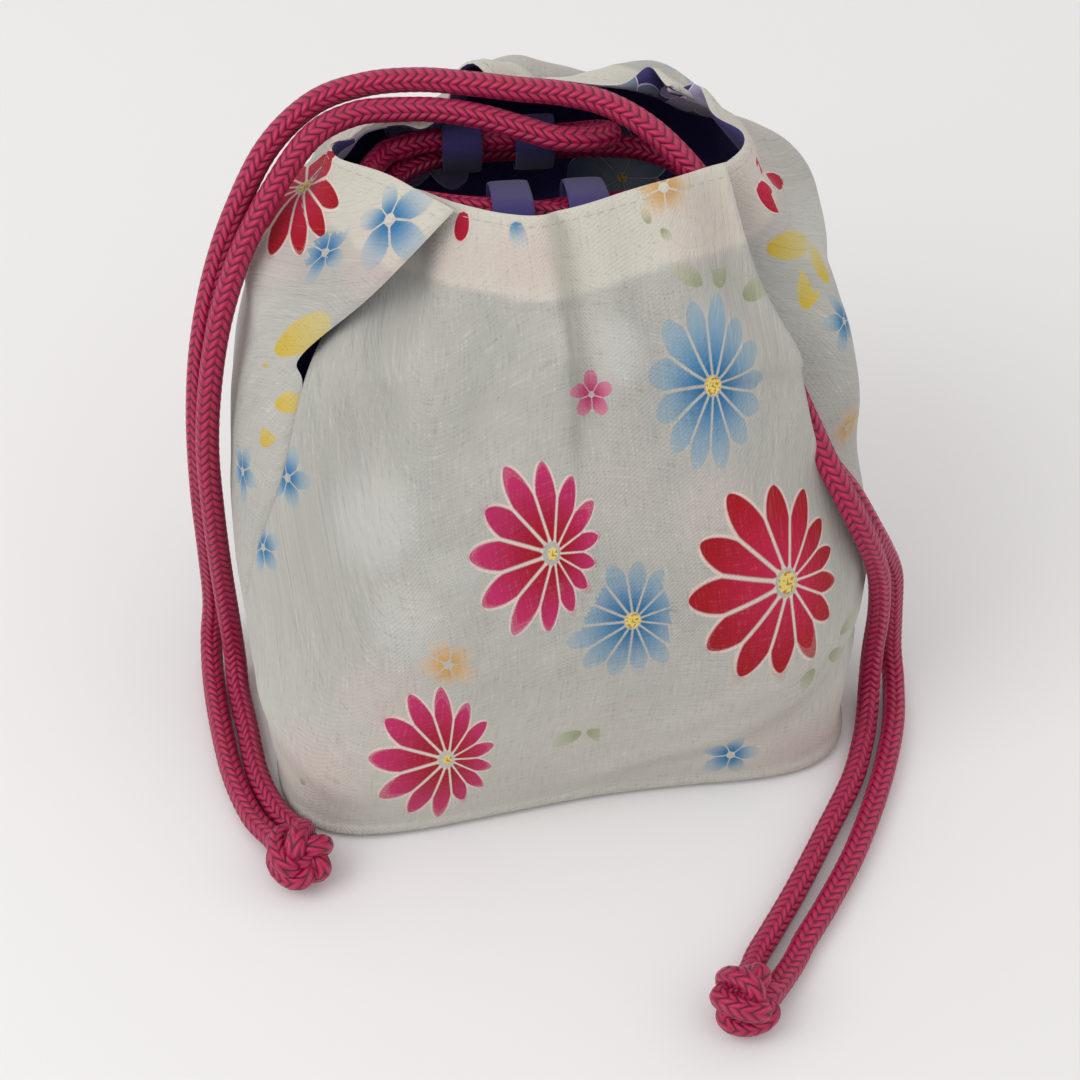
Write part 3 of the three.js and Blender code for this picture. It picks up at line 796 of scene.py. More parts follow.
# Each flower or leaf on a panel: kind, place across and up the panel, radius in millimetres, turn
# in degrees, how far its petals lengthen towards one side (across, up), and how much taller than
# wide it is.
FRONT_PRINT = [
    ("red_chrysanthemum", 0.801, 0.562, 22.5, 8, (-0.28, 0), 1.3),
    ("rose_chrysanthemum", 0.481, 0.648, 16.5, 14, (-0.3, 0.05), 1.42),
    ("rose_chrysanthemum", 0.361, 0.396, 16, 10, (-0.26, 0), 1.42),
    ("blue_daisy", 0.817, 0.810, 15, 5, (-0.1, 0), 1.45),
    ("blue_daisy", 0.571, 0.556, 16, 0, (-0.12, 0), 1.15),
    ("pink_bell", 0.577, 0.810, 5.5, 20, (0, 0), 1.1),
    ("orange_bell", 0.329, 0.523, 9, 40, (0, 0), 1),
    ("orange_bell", 0.828, 0.995, 9.5, 10, (0, 0), 1),
    ("orange_bell", 0.337, 0.241, 8, 0, (0, 0), 1),
    ("orange_bell", 0.217, 0.242, 10, 30, (0, 0), 1),
    ("blue_bell", 0.015, 0.693, 8, 15, (0, 0), 1.1),
    ("blue_bell", 0.017, 0.597, 7, 50, (0.1, 0), 1.1),
    ("blue_bell", 0.694, 0.332, 8.5, 5, (-0.1, 0), 1.1),
    ("blue_bell", 0.581, 0.239, 8, 60, (0, 0), 1),
    ("red_petal", 0.328, 0.994, 8, -85, (0, 0), 1),
    ("blue_petal", 0.462, 0.992, 9, -75, (0, 0), 1),
    ("green_leaf", 0.514, 0.409, 9.5, 205, (0, 0), 1),
    ("green_leaf", 0.524, 0.409, 9, 325, (0, 0), 1),
    ("green_leaf", 0.851, 0.461, 9.5, 5, (0, 0), 1),
    ("green_leaf", 0.827, 0.445, 11, 330, (0, 0), 1),
    ("green_leaf", 0.808, 0.440, 10, 225, (0, 0), 1),
    ("green_leaf", 0.853, 0.905, 9.5, 130, (0, 0), 1),
    ("green_leaf", 0.890, 0.895, 11, 75, (0, 0), 1),
    ("green_leaf", 0.937, 0.884, 11, 25, (0, 0), 1),
    ("green_leaf", 0.775, 0.965, 4.5, 100, (0, 0), 1),
    ("green_leaf", 0.800, 0.960, 4.5, 300, (0, 0), 1),
    ("green_leaf", 0.203, 0.330, 4.5, 80, (0, 0), 1),
    ("line_bell", 0.271, 0.505, 9, 10, (0, 0), 1),
    ("line_bell", 0.901, 0.733, 10, 40, (0, 0), 1.2),
    ("line_daisy", 0.532, 0.451, 17, 0, (0, -0.3), 1),
    ("line_daisy", 0.759, 0.452, 15, 0, (0, 0), 1),
    ("line_bell", 0.141, 0.442, 9, 20, (0, 0), 1.2),
    ("line_bell", 0.900, 0.940, 11, 70, (0, 0), 1),
    ("line_daisy", 0.258, 0.788, 13, 10, (0, 0), 1),
]
BACK_PRINT = [
    ("red_chrysanthemum", 0.815, 0.905, 19.0, 25, (0.05, -0.1), 1.0),
    ("blue_bell", 0.911, 0.905, 8.5, 20, (0.0, 0.0), 1.1),
    ("blue_bell", 0.944, 0.965, 11.0, -10, (0.25, -0.1), 1.1),
    ("gold_leaf", 0.965, 0.780, 20.0, 62, (0.0, 0.0), 1.0),
    ("gold_leaf", 0.962, 0.735, 9.0, 150, (0.0, 0.0), 1.0),
    ("gold_leaf", 0.975, 0.700, 13.0, 35, (0.0, 0.0), 1.0),
    ("gold_leaf", 0.970, 0.660, 12.0, 70, (0.0, 0.0), 1.0),
    ("blue_bell", 0.955, 0.614, 8.0, 10, (0.0, 0.0), 1.1),
    ("red_petal", 0.085, 0.970, 11.0, -160, (0.0, 0.0), 1.0),
    ("red_petal", 0.060, 0.960, 11.0, -80, (0.0, 0.0), 1.0),
    ("red_petal", 0.105, 0.940, 10.0, -60, (0.0, 0.0), 1.0),
    ("gold_leaf", 0.045, 0.900, 16.0, -20, (0.0, 0.0), 1.0),
    ("gold_leaf", 0.050, 0.790, 14.0, 40, (0.0, 0.0), 1.0),
    ("gold_leaf", 0.090, 0.800, 12.0, 70, (0.0, 0.0), 1.0),
    ("blue_bell", 0.085, 0.730, 8.0, 10, (0.0, 0.0), 1.0),
    ("orange_bell", 0.060, 0.620, 9.0, 30, (0.0, 0.0), 1.0),
    ("red_chrysanthemum", 0.24, 0.64, 23.0, 10, (-0.25, 0.1), 1.1),
    ("rose_chrysanthemum", 0.54, 0.74, 22.0, 30, (0.25, 0.0), 1.1),
    ("rose_chrysanthemum", 0.70, 0.50, 20.0, 0, (0.2, -0.1), 1.1),
    ("red_chrysanthemum", 0.42, 0.43, 21.0, 50, (0.0, 0.25), 1.0),
    ("blue_daisy", 0.36, 0.80, 17.0, 0, (0.1, 0.0), 1.2),
    ("blue_daisy", 0.58, 0.55, 16.0, 20, (0.0, 0.1), 1.1),
    ("blue_daisy", 0.15, 0.44, 15.0, 0, (0.0, 0.0), 1.1),
    ("blue_bell", 0.47, 0.62, 9.0, 15, (0.0, 0.0), 1.0),
    ("blue_bell", 0.86, 0.46, 8.5, 35, (0.0, 0.0), 1.0),
    ("pink_bell", 0.66, 0.84, 7.0, 0, (0.0, 0.0), 1.0),
    ("orange_bell", 0.33, 0.54, 9.0, 25, (0.0, 0.0), 1.0),
    ("orange_bell", 0.75, 0.70, 9.0, 55, (0.0, 0.0), 1.0),
    ("pink_bell", 0.56, 0.38, 7.0, 40, (0.0, 0.0), 1.0),
    ("green_leaf", 0.31, 0.68, 11.0, 40, (0.0, 0.0), 1.0),
    ("green_leaf", 0.30, 0.67, 10.0, 95, (0.0, 0.0), 1.0),
    ("green_leaf", 0.62, 0.63, 11.0, 150, (0.0, 0.0), 1.0),
    ("green_leaf", 0.49, 0.50, 10.0, 10, (0.0, 0.0), 1.0),
    ("green_leaf", 0.78, 0.56, 10.0, 60, (0.0, 0.0), 1.0),
    ("gold_leaf", 0.80, 0.78, 15.0, 120, (0.0, 0.0), 1.0),
    ("gold_leaf", 0.44, 0.88, 14.0, 60, (0.0, 0.0), 1.0),
    ("gold_leaf", 0.22, 0.52, 13.0, -30, (0.0, 0.0), 1.0),
    ("line_bell", 0.20, 0.80, 11.0, 20, (0.0, 0.0), 1.0),
    ("line_daisy", 0.66, 0.66, 16.0, 0, (0.0, 0.0), 1.0),
    ("line_daisy", 0.30, 0.36, 15.0, 0, (0.0, 0.0), 1.0),
    ("line_bell", 0.50, 0.93, 11.0, 40, (0.0, 0.0), 1.0),
    ("line_bell", 0.88, 0.60, 10.0, 70, (0.0, 0.0), 1.0),
]
FRONT_LINING_PRINT = [
    ("white_bell", 0.35, 0.90, 12.0, 0, (0.0, 0.0), 1.0),
    ("slate_bell", 0.62, 0.84, 13.0, 30, (0.0, 0.0), 1.0),
    ("white_bell", 0.20, 0.70, 14.0, 10, (0.0, 0.0), 1.0),
    ("slate_bell", 0.50, 0.62, 15.0, 50, (0.0, 0.0), 1.0),
    ("white_bell", 0.80, 0.66, 14.0, 20, (0.0, 0.0), 1.0),
    ("white_bell", 0.45, 0.40, 14.0, 0, (0.0, 0.0), 1.0),
    ("slate_bell", 0.86, 0.95, 11.0, 0, (0.0, 0.0), 1.0),
]
BACK_LINING_PRINT = [
    ("white_bell", 0.28, 0.955, 12.0, 25, (0.0, 0.0), 1.0),
    ("white_bell", 0.62, 0.965, 12.0, 5, (0.0, 0.0), 1.0),
    ("slate_bell", 0.47, 0.90, 13.0, 35, (0.0, 0.0), 1.0),
    ("white_bell", 0.76, 0.95, 12.0, 60, (0.0, 0.0), 1.0),
    ("slate_bell", 0.12, 0.92, 13.0, 15, (0.0, 0.0), 1.0),
    ("white_bell", 0.40, 0.78, 15.0, 0, (0.0, 0.0), 1.0),
    ("slate_bell", 0.60, 0.72, 15.0, 25, (0.0, 0.0), 1.0),
    ("white_bell", 0.22, 0.74, 15.0, 45, (0.0, 0.0), 1.0),
    ("slate_bell", 0.80, 0.76, 15.0, 10, (0.0, 0.0), 1.0),
    ("white_bell", 0.50, 0.55, 16.0, 20, (0.0, 0.0), 1.0),
    ("slate_bell", 0.30, 0.50, 15.0, 50, (0.0, 0.0), 1.0),
    ("white_bell", 0.72, 0.50, 15.0, 0, (0.0, 0.0), 1.0),
]
# Soft patches in the ground, pale and pink: place across and up, radius across and up in
# millimetres, strength.
FRONT_GHOSTS = [(0.187, 0.678, 11, 13, 0.45), (0.628, 0.858, 8, 8, 0.45),
                (0.576, 0.873, 6, 8, 0.42), (0.324, 0.633, 9, 7, 0.25),
                (0.748, 0.673, 10, 9, 0.25), (0.26, 0.569, 9, 12, 0.4)]
FRONT_BLUSHES = [(0.46, 0.955, 10, 9, 0.55), (0.3, 0.95, 12, 8, 0.5), (0.803, 0.278, 26, 9, 0.55),
                 (0.217, 0.374, 13, 12, 0.5), (0.769, 0.673, 14, 12, 0.35),
                 (0.9, 0.955, 12, 9, 0.45), (0.26, 0.477, 13, 12, 0.35),
                 (0.612, 0.713, 12, 9, 0.25), (0.98, 0.484, 10, 14, 0.4)]
BACK_GHOSTS = [(0.9, 0.84, 10, 12, 0.5), (0.12, 0.86, 11, 12, 0.4), (0.45, 0.7, 12, 12, 0.5),
               (0.7, 0.8, 11, 10, 0.5), (0.3, 0.5, 12, 12, 0.4), (0.6, 0.45, 12, 11, 0.4)]
BACK_BLUSHES = [(0.97, 0.94, 12, 12, 0.5), (0.86, 0.88, 16, 14, 0.45), (0.09, 0.95, 16, 12, 0.5),
                (0.25, 0.9, 14, 12, 0.4), (0.5, 0.85, 14, 12, 0.4), (0.36, 0.62, 16, 14, 0.35),
                (0.66, 0.58, 16, 14, 0.35), (0.8, 0.4, 16, 12, 0.4), (0.2, 0.38, 16, 12, 0.4)]


def patches(grid, normals, places):
    """Soft round patches over the grid, from 0 to 1."""
    total = np.zeros(grid.shape[:2])
    for across, up, wide, tall, strength in places:
        x, y, facing = from_centre(grid, normals, across, up)
        far = (x / wide / MM) ** 2 + (y / tall / MM) ** 2
        total = np.maximum(total, strength * np.exp(-far ** 2) * facing)
    return total


def from_centre(grid, normals, across, up):
    """Each point's place to the right of and above a centre on the sheet, along its tangents, and
    1 where the point is on the same side of the cloth and near the centre."""
    rows, columns = grid.shape[0] - 1, grid.shape[1] - 1
    r, c = round(up * rows), round(across * columns)
    centre, normal = grid[r, c], normals[r, c]
    right = grid[r, min(c + 3, columns)] - grid[r, max(c - 3, 0)]
    right -= normal * (right @ normal)
    right /= np.linalg.norm(right)
    upward = np.cross(normal, right)
    off = grid - centre
    x, y = off @ right, off @ upward
    flat = np.hypot(x, y)
    stretch = np.linalg.norm(off, axis=2) / np.maximum(flat, 1e-9)
    stretch = np.clip(stretch, 1, 1.25)
    return x * stretch, y * stretch, (normals @ normal > 0.05).astype(float)


def print_attributes(mesh, grid, normals, flowers, layer):
    """Gives each face corner near a flower its place in that flower, and the flower's form and
    colours. Corners are in the order in which grid_faces makes the sheet's printed face."""
    rows, columns = grid.shape[0] - 1, grid.shape[1] - 1
    nearest = np.full((rows, columns), 9.0)
    place = np.full((rows, columns, 4, 3), 9.0)
    place[..., 2] = 5.0
    form = np.tile([0.1, 0.1, 0.5], (rows, columns, 4, 1))
    detail = np.zeros((rows, columns, 4, 3))
    inner, outer = np.zeros((rows, columns, 4, 4)), np.zeros((rows, columns, 4, 4))
    edge = np.zeros((rows, columns, 4, 3))
    for number, (kind, across, up, radius, turn, lean, tall) in enumerate(flowers):
        count, width, start, fullness, heart, line, first, last = KINDS[kind]
        x, y, facing = from_centre(grid, normals, across, up)
        x, y = x / radius / MM, y / radius / tall / MM
        away = np.maximum(np.hypot(x, y), 1e-6)
        long = np.maximum(1 + (x * lean[0] + y * lean[1]) / away, 0.3)
        away = away / long
        middle = (away[1:, 1:] + away[:-1, 1:] + away[1:, :-1] + away[:-1, :-1]) / 4
        reach = middle * (0.6 if kind.endswith("chrysanthemum") else 1.0)
        taken = (middle < 1.15) & (reach < nearest) & (facing[1:, 1:] > 0)
        nearest = np.where(taken, reach, nearest)
        turned = math.radians(turn)
        u = (x * math.cos(turned) + y * math.sin(turned)) / long
        v = (-x * math.sin(turned) + y * math.cos(turned)) / long
        for corner, (dr, dc) in enumerate(((0, 0), (0, 1), (1, 1), (1, 0))):
            cells = (slice(dr, rows + dr), slice(dc, columns + dc))
            place[..., corner, 0] = np.where(taken, u[cells], place[..., corner, 0])
            place[..., corner, 1] = np.where(taken, v[cells], place[..., corner, 1])
        place[taken, :, 2] = count
        form[taken] = (width, start, fullness)
        detail[taken] = (heart, line, number * 1.7)
        inner[taken], outer[taken] = first, last
        edge[taken] = OUTLINES.get(kind[:3], TAN)
    rest = len(mesh.loops) - rows * columns * 4
    for name, kind, values, blank in (
            ("place", "FLOAT_VECTOR", place, (9, 9, 5)), ("form", "FLOAT_VECTOR", form, (0.1,) * 3),
            ("detail", "FLOAT_VECTOR", detail, (0, 0, 0)),
            ("edge", "FLOAT_VECTOR", edge, (0, 0, 0)),
            ("inner", "FLOAT_COLOR", inner, (0,) * 4), ("outer", "FLOAT_COLOR", outer, (0,) * 4)):
        flat = values.reshape(-1, values.shape[-1])
        every = np.concatenate([flat, np.tile(blank, (rest, 1))])
        corner_attribute(mesh, f"{layer}_{name}", kind, every)


LEAF_KINDS = ("green_leaf", "gold_leaf", "line_bell", "line_daisy")


def print_panel(made, grid, normals, flowers):
    """Stores a panel's whole print, leaves and outlines under the full flowers."""
    under = [f for f in flowers if f[0] in LEAF_KINDS]
    over = [f for f in flowers if f[0] not in LEAF_KINDS]
    print_attributes(made.data, grid, normals, under, "leaf")
    print_attributes(made.data, grid, normals, over, "bloom")


# ---- pieces -------------------------------------------------------------------------------------

PANEL_COLUMNS, PANEL_ROWS = 180, 176
STITCHED_ROWS = PANEL_ROWS - 2, PANEL_ROWS - 17
LAYER_GAP = 0.0002
INNER_BASE_HEIGHT = 0.0004


def settings():
    return bpy.context.scene.pouch_cloth, bpy.context.scene.pouch_cord


def folded_panel(is_front):
    """A panel's form with its folds, and its normals."""
    form = panel_form(is_front, PANEL_COLUMNS, PANEL_ROWS)
    heights = fold_heights(form, is_front)
    grid = form + grid_normals(form) * heights[..., None]
    grid[..., 2] = np.maximum(grid[..., 2], BASE_HEIGHT_MM * MM)
    return grid, grid_normals(grid)


def edge_rise(grid, roll):
    """From 0 at a sheet's edges to 1 where it has rounded over fully."""
    left, low = run_across(grid, 1), run_across(grid, 0)
    right, high = left[:, -1:] - left, low[-1:] - low
    near = np.minimum(np.minimum(left, right), np.minimum(low, high))
    t = 1 - np.clip(near / roll, 0, 1)
    return np.sqrt(np.maximum(1 - t * t, 0))


# The bunch in the lining: how much of the way to its axis it is drawn, its height and spread, where
# it starts and over what rise, the share at each seam that stays out, and its ripples' height,
# number and lean.
BUNCH_SHARE, BUNCH_HEIGHT_MM, BUNCH_SPREAD_MM = 0.78, 93, 15
BUNCH_LOW_MM, BUNCH_RISE_MM, BUNCH_SEAM_SHARE = 40, 30, 0.22
RIPPLE_SHARE, RIPPLE_TURNS, RIPPLE_LEAN = 0.10, 61, 0.05
BUNCH_AXIS = (-0.002, 0.018, 0)


def bunched(grid):
    """The lining drawn in below the mouth, where it bunches between the side seams."""
    share = np.linspace(0, 1, grid.shape[1])[None, :]
    high = grid[..., 2] / MM
    drawn = BUNCH_SHARE * np.exp(-((high - BUNCH_HEIGHT_MM) / BUNCH_SPREAD_MM) ** 2)
    drawn = drawn * smooth_step((high - BUNCH_LOW_MM) / BUNCH_RISE_MM)
    drawn = drawn * smooth_step(share / BUNCH_SEAM_SHARE)
    drawn = drawn * smooth_step((1 - share) / BUNCH_SEAM_SHARE)
    drawn = drawn * (1 + RIPPLE_SHARE * np.sin(share * RIPPLE_TURNS + high * RIPPLE_LEAN))
    inward = (np.array(BUNCH_AXIS) - grid) * (1, 1, 0)
    return grid + inward * drawn[..., None]


def cloth_panel(is_front, is_lining, material):
    """One panel of outer cloth or lining, a thin closed sheet with its print."""
    cloth, _ = settings()
    grid, normals = folded_panel(is_front)
    if is_lining:
        grid = bunched(grid)
        normals = grid_normals(grid)
    rise = edge_rise(grid, cloth.edge_roll)[..., None]
    side = -1 if is_lining else 1
    shown = grid + normals * side * (LAYER_GAP + cloth.thickness) * rise
    hidden = grid + normals * side * LAYER_GAP * rise * 0.5
    hidden[..., 2] = np.maximum(hidden[..., 2], INNER_BASE_HEIGHT)
    shown[..., 2] = np.maximum(shown[..., 2], 0.0)
    word = "lining" if is_lining else "outer"
    name = f"{word}_{'front' if is_front else 'back'}_cloth"
    if is_lining:
        shown, hidden = shown[:, ::-1], hidden[:, ::-1]
    made = sheet_shell(name, shown, hidden, material)
    cloth_uv(made.data, shown)
    return made, shown, grid_normals(shown)


# Painted light: low down, where more light reaches it, the cloth is painted part of the way as
# creamy as at the hem.
PAINTED_LIGHT_SHARE, PAINTED_LIGHT_TOP, PAINTED_LIGHT_FADE = 0.45, 0.075, 0.06


def tone_attribute(mesh, grid, normals, hem_depth, ghosts, blushes):
    """How creamy the cloth is at each point, at the hem and, as painted light, low down; how lit
    through and how pink it is.
    """
    low = run_across(grid, 0)
    from_hem = low[-1:] - low
    wobble = soft_noise(grid, 0.02, 9) * 0.0012
    hem = smooth_step((hem_depth + wobble - from_hem) / 0.002)
    # Painted light: low down, the cream share rises towards the hem's.
    painted_low_light = smooth_step((PAINTED_LIGHT_TOP - grid[..., 2]) / PAINTED_LIGHT_FADE)
    hem = np.maximum(hem, PAINTED_LIGHT_SHARE * painted_low_light)
    values = np.stack([hem, patches(grid, normals, ghosts), patches(grid, normals, blushes)], 2)
    flat = values.reshape(-1, 3)
    layer = mesh.attributes.new("tone", "FLOAT_VECTOR", "POINT")
    layer.data.foreach_set("vector", np.concatenate([flat, flat]).astype(np.float32).ravel())


def even_line(points, step):
    """The smooth curve through points, with a point every step."""
    fine = catmull_rom(points, np.linspace(0, len(points) - 1, 40 * len(points)))
    run = run_of(fine)
    where = np.linspace(0, run[-1], max(8, round(run[-1] / step)))
    return np.stack([np.interp(where, run, fine[:, k]) for k in range(3)], axis=1)


BRAID_SIDES = 32


def braid_relief(run, cord, radius):
    """The radius of a braided cord at each place along and around it, and the place itself: how
    many strands along, and the cosine and sine of the way round."""
    angle = 2 * math.pi * np.arange(BRAID_SIDES) / BRAID_SIDES
    column = angle / (2 * math.pi) * cord.columns
    crest = np.sin(math.pi * (column % 1)) ** 0.6
    turns = run[:, None] / cord.pitch + 0 * angle
    scallop = 0.5 - 0.5 * np.cos(2 * math.pi * turns)
    place = np.stack([turns, np.cos(angle) + 0 * turns, np.sin(angle) + 0 * turns], axis=2)
    return radius * (0.94 + 0.04 * crest + 0.03 * scallop), place


def braided_tube(name, line, radius, closed=False):
    """A braided cord along a line of evenly spaced points."""
    _, cord = settings()
    run = run_of(line)
    radii, braid = braid_relief(run, cord, radius)
    made = tube(name, line, radii, closed, braid_material(cord))
    layer = made.data.attributes.new("braid", "FLOAT_VECTOR", "POINT")
    layer.data.foreach_set("vector", braid.astype(np.float32).ravel())
    return made


def turn_in_knot(route, middle):
    """Points on the turn that joins the two ends of a cord's route inside its knot."""
    last, first = np.array(route[-1]), np.array(route[0])
    between = (last + first) / 2
    side, inward = (last - first) / 2, np.array(middle) - between
    reach = 1 + 0.003 / np.linalg.norm(inward)
    turns = np.radians([30, 60, 90, 120, 150])
    return [tuple(between + side * 1.2 * math.cos(t) + inward * reach * math.sin(t)) for t in turns]


def knot_line(middle, turned):
    """A closed line that winds five times through a ball, as a tight knot's turns do."""
    t = np.linspace(0, 2 * math.pi, 420, endpoint=False)
    ring, swing, tall = 4.5, 1.75, 4.4
    flat = ring + swing * np.cos(5 * t)
    x, y, z = flat * np.cos(2 * t), flat * np.sin(2 * t), tall * np.sin(5 * t)
    points = np.stack([x, y, z], axis=1) * MM
    tip, spin = math.radians(62), math.radians(turned)
    points = points @ np.array([[1, 0, 0], [0, math.cos(tip), math.sin(tip)],
                                [0, -math.sin(tip), math.cos(tip)]])
    points = points @ np.array([[math.cos(spin), math.sin(spin), 0],
                                [-math.sin(spin), math.cos(spin), 0], [0, 0, 1]])
    return points + np.array(middle)


def stitch_tree(material):
    """Stitches along a line: named inputs for their sizes, and a fixed seed."""
    tree = bpy.data.node_groups.new("topstitching", "GeometryNodeTree")
    tree.interface.new_socket("Geometry", in_out="INPUT", socket_type="NodeSocketGeometry")
    for label, value in (("Pitch", 0.0028), ("Length", 0.0021), ("Thread", 0.0003)):
        socket = tree.interface.new_socket(label, in_out="INPUT", socket_type="NodeSocketFloat")
        socket.default_value = value
    tree.interface.new_socket("Seed", in_out="INPUT", socket_type="NodeSocketInt")
    tree.interface.new_socket("Geometry", in_out="OUTPUT", socket_type="NodeSocketGeometry")
    s = Steps(tree)
    given = s.node("NodeGroupInput").outputs
    line = s.node("GeometryNodeMeshToCurve", given["Geometry"]).outputs[0]
    spaced = s.node("GeometryNodeResampleCurve", line, mode="LENGTH")
    s.feed(spaced.inputs["Length"], given["Pitch"])
    ball = s.node("GeometryNodeMeshUVSphere", 6, 4, 0.5).outputs[0]
    put = s.node("GeometryNodeInstanceOnPoints", spaced.outputs[0])
    s.feed(put.inputs["Instance"], ball)
    along = s.node("GeometryNodeInputTangent").outputs[0]
    turn = s.node("FunctionNodeAlignRotationToVector", axis="X")
    s.feed(turn.inputs["Vector"], along)
    s.feed(put.inputs["Rotation"], turn.outputs[0])
    vary = s.node("FunctionNodeRandomValue", data_type="FLOAT")
    for label, value in (("Min", 0.88), ("Max", 1.08)):
        for socket in vary.inputs:
            if socket.name == label and socket.type == "VALUE":
                socket.default_value = value
    s.feed(vary.inputs["Seed"], given["Seed"])
    long = s.math("MULTIPLY", given["Length"], [o for o in vary.outputs if o.type == "VALUE"][0])
    s.feed(put.inputs["Scale"], s.node("ShaderNodeCombineXYZ", long, given["Thread"],
                                       given["Thread"]).outputs[0])
    real = s.node("GeometryNodeRealizeInstances", put.outputs[0])
    smooth = s.node("GeometryNodeSetShadeSmooth", real.outputs[0])
    dressed = s.node("GeometryNodeSetMaterial", smooth.outputs[0])
    dressed.inputs["Material"].default_value = material
    s.node("NodeGroupOutput", dressed.outputs[0])
    return tree


def stitched(name, lines, tree, seed):
    """A plain mesh of the stitches along some lines of points."""
    stitch = bpy.context.scene.pouch_stitch
    vertices = np.concatenate(lines)
    edges, first = [], 0
    for line in lines:
        edges += [(first + i, first + i + 1) for i in range(len(line) - 1)]
        first += len(line)
    mesh = bpy.data.meshes.new(name + "_line")
    mesh.from_pydata([tuple(v) for v in vertices], edges, [])
    guide = bpy.data.objects.new(name + "_line", mesh)
    bpy.context.scene.collection.objects.link(guide)
    modifier = guide.modifiers.new("topstitching", "NODES")
    modifier.node_group = tree
    values = {"Pitch": stitch.pitch, "Length": stitch.length, "Thread": stitch.thread,
              "Seed": seed}
    for item in tree.interface.items_tree:
        if item.in_out == "INPUT" and item.name in values:
            modifier[item.identifier] = values[item.name]
    graph = bpy.context.evaluated_depsgraph_get()
    made = bpy.data.meshes.new_from_object(guide.evaluated_get(graph))
    made.name = name
    bpy.data.objects.remove(guide)
    bpy.data.meshes.remove(mesh)
    piece = bpy.data.objects.new(name, made)
    bpy.context.scene.collection.objects.link(piece)
    return piece


def hold(piece, slot, *nodes):
    """The piece rides on the pouch and stands for frame nodes, which it hides; its slot is not used.
    """
    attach(piece, "root")
    if nodes:
        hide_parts(*nodes)


# ---- operators ----------------------------------------------------------------------------------

CAMERA_AIM = (-0.00408, -0.02911, 0.06258)
LIGHT_AIM = (0, -0.02, 0.06)
KEY_PLACE, KEY_SIZE = (-0.75, -0.35, 0.9), 0.8
FILL_PLACE, FILL_SIZE, FILL_SHARE = (0.9, -0.5, 0.9), 1.0, 0.15
FLOOR_HALF = 6.0


class POUCH_OT_stage(bpy.types.Operator):
    """Set the camera, the floor and the lights"""

    bl_idname = "pouch.stage"
    bl_label = "Stage"

    def execute(self, context):
        scene, stage = context.scene, context.scene.pouch_stage
        scene.view_settings.view_transform = "Standard"
        aim = Vector(CAMERA_AIM)
        a, e = stage.azimuth, stage.elevation
        back = Vector((math.sin(a) * math.cos(e), -math.cos(a) * math.cos(e), math.sin(e)))
        data = bpy.data.cameras.new("camera")
        data.lens, data.sensor_width = stage.lens, 36.0
        data.clip_start, data.clip_end = 0.01, 20.0
        camera = bpy.data.objects.new("camera", data)
        camera.location = aim + back * stage.distance
        camera.rotation_mode = "QUATERNION"
        camera.rotation_quaternion = (-back).to_track_quat("-Z", "Y")
        scene.collection.objects.link(camera)
        scene.camera = camera
        self.floor(stage)
        world = bpy.data.worlds.new("studio")
        world.use_nodes = True
        world.node_tree.nodes["Background"].inputs[0].default_value = (1.0, 0.99, 0.985, 1)
        world.node_tree.nodes["Background"].inputs[1].default_value = stage.sky
        scene.world = world
        self.light("key", KEY_PLACE, KEY_SIZE, stage.key)
        self.light("fill", FILL_PLACE, FILL_SIZE, stage.key * FILL_SHARE)
        return {"FINISHED"}

    def floor(self, stage):
        half = FLOOR_HALF
        material, s, shader = new_material("floor_paper", Roughness=0.9)
        place = s.node("ShaderNodeTexCoord").outputs["Object"]
        grain = s.noise(place, 900.0, 2.0)
        tint = s.mix(s.math("MULTIPLY", grain, 0.04), rgba(stage.floor), (0.72, 0.71, 0.71, 1))
        s.feed(shader.inputs["Base Color"], tint)
        corners = [(-half, -half, 0), (half, -half, 0), (half, half, 0), (-half, half, 0)]
        new_object("floor", corners, [(0, 1, 2, 3)], material, smooth=False)

    def light(self, name, place, size, power):
        data = bpy.data.lights.new(name, "AREA")
        data.size, data.energy = size, power
        made = bpy.data.objects.new(name, data)
        made.location = place
        made.rotation_mode = "QUATERNION"
        aim = Vector(LIGHT_AIM) - Vector(place)
        made.rotation_quaternion = aim.to_track_quat("-Z", "Y")
        bpy.context.scene.collection.objects.link(made)


class POUCH_OT_drawcords(bpy.types.Operator):
    """Make the two braided drawcords with their knots"""

    bl_idname = "pouch.drawcords"
    bl_label = "Drawcords and knots"

    def execute(self, context):
        cord = context.scene.pouch_cord
        for side, route, leaves, start, turned in (
                ("left", LEFT_ROUTE, LEFT_EXIT, LEFT_START, 20),
                ("right", RIGHT_ROUTE, RIGHT_EXIT, RIGHT_START, 75)):
            low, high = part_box(f"{side}_knot")
            middle = (low + high) / 2
            points = [*route[start:], *turn_in_knot(route, middle), *route[:start + 1]]
            line = even_line(points, cord.pitch / 4)
            braid = braided_tube(f"{side}_cord", line, cord.diameter / 2)
            turns = knot_line(middle, turned)
            knot = braided_tube(f"{side}_cord_knot", turns, cord.diameter * 0.45, closed=True)
            hold(braid, "braided_cord", f"{side}_drawcord")
            hold(knot, "braided_cord", f"{side}_knot")
        return {"FINISHED"}


class POUCH_OT_outer_cloth(bpy.types.Operator):
    """Make the two outer panels of printed cotton"""

    bl_idname = "pouch.outer_cloth"
    bl_label = "Outer cloth"

    def execute(self, context):
        cloth = context.scene.pouch_cloth
        material = cotton_material(cloth)
        for side, flowers, ghosts, blushes in (
                ("front", FRONT_PRINT, FRONT_GHOSTS, FRONT_BLUSHES),
                ("back", BACK_PRINT, BACK_GHOSTS, BACK_BLUSHES)):
            made, grid, normals = cloth_panel(side == "front", False, material)
            tone_attribute(made.data, grid, normals, cloth.hem_depth, ghosts, blushes)
            print_panel(made, grid, normals, flowers)
            hold(made, "printed_cotton", f"outer_{side}_panel")
        return {"FINISHED"}


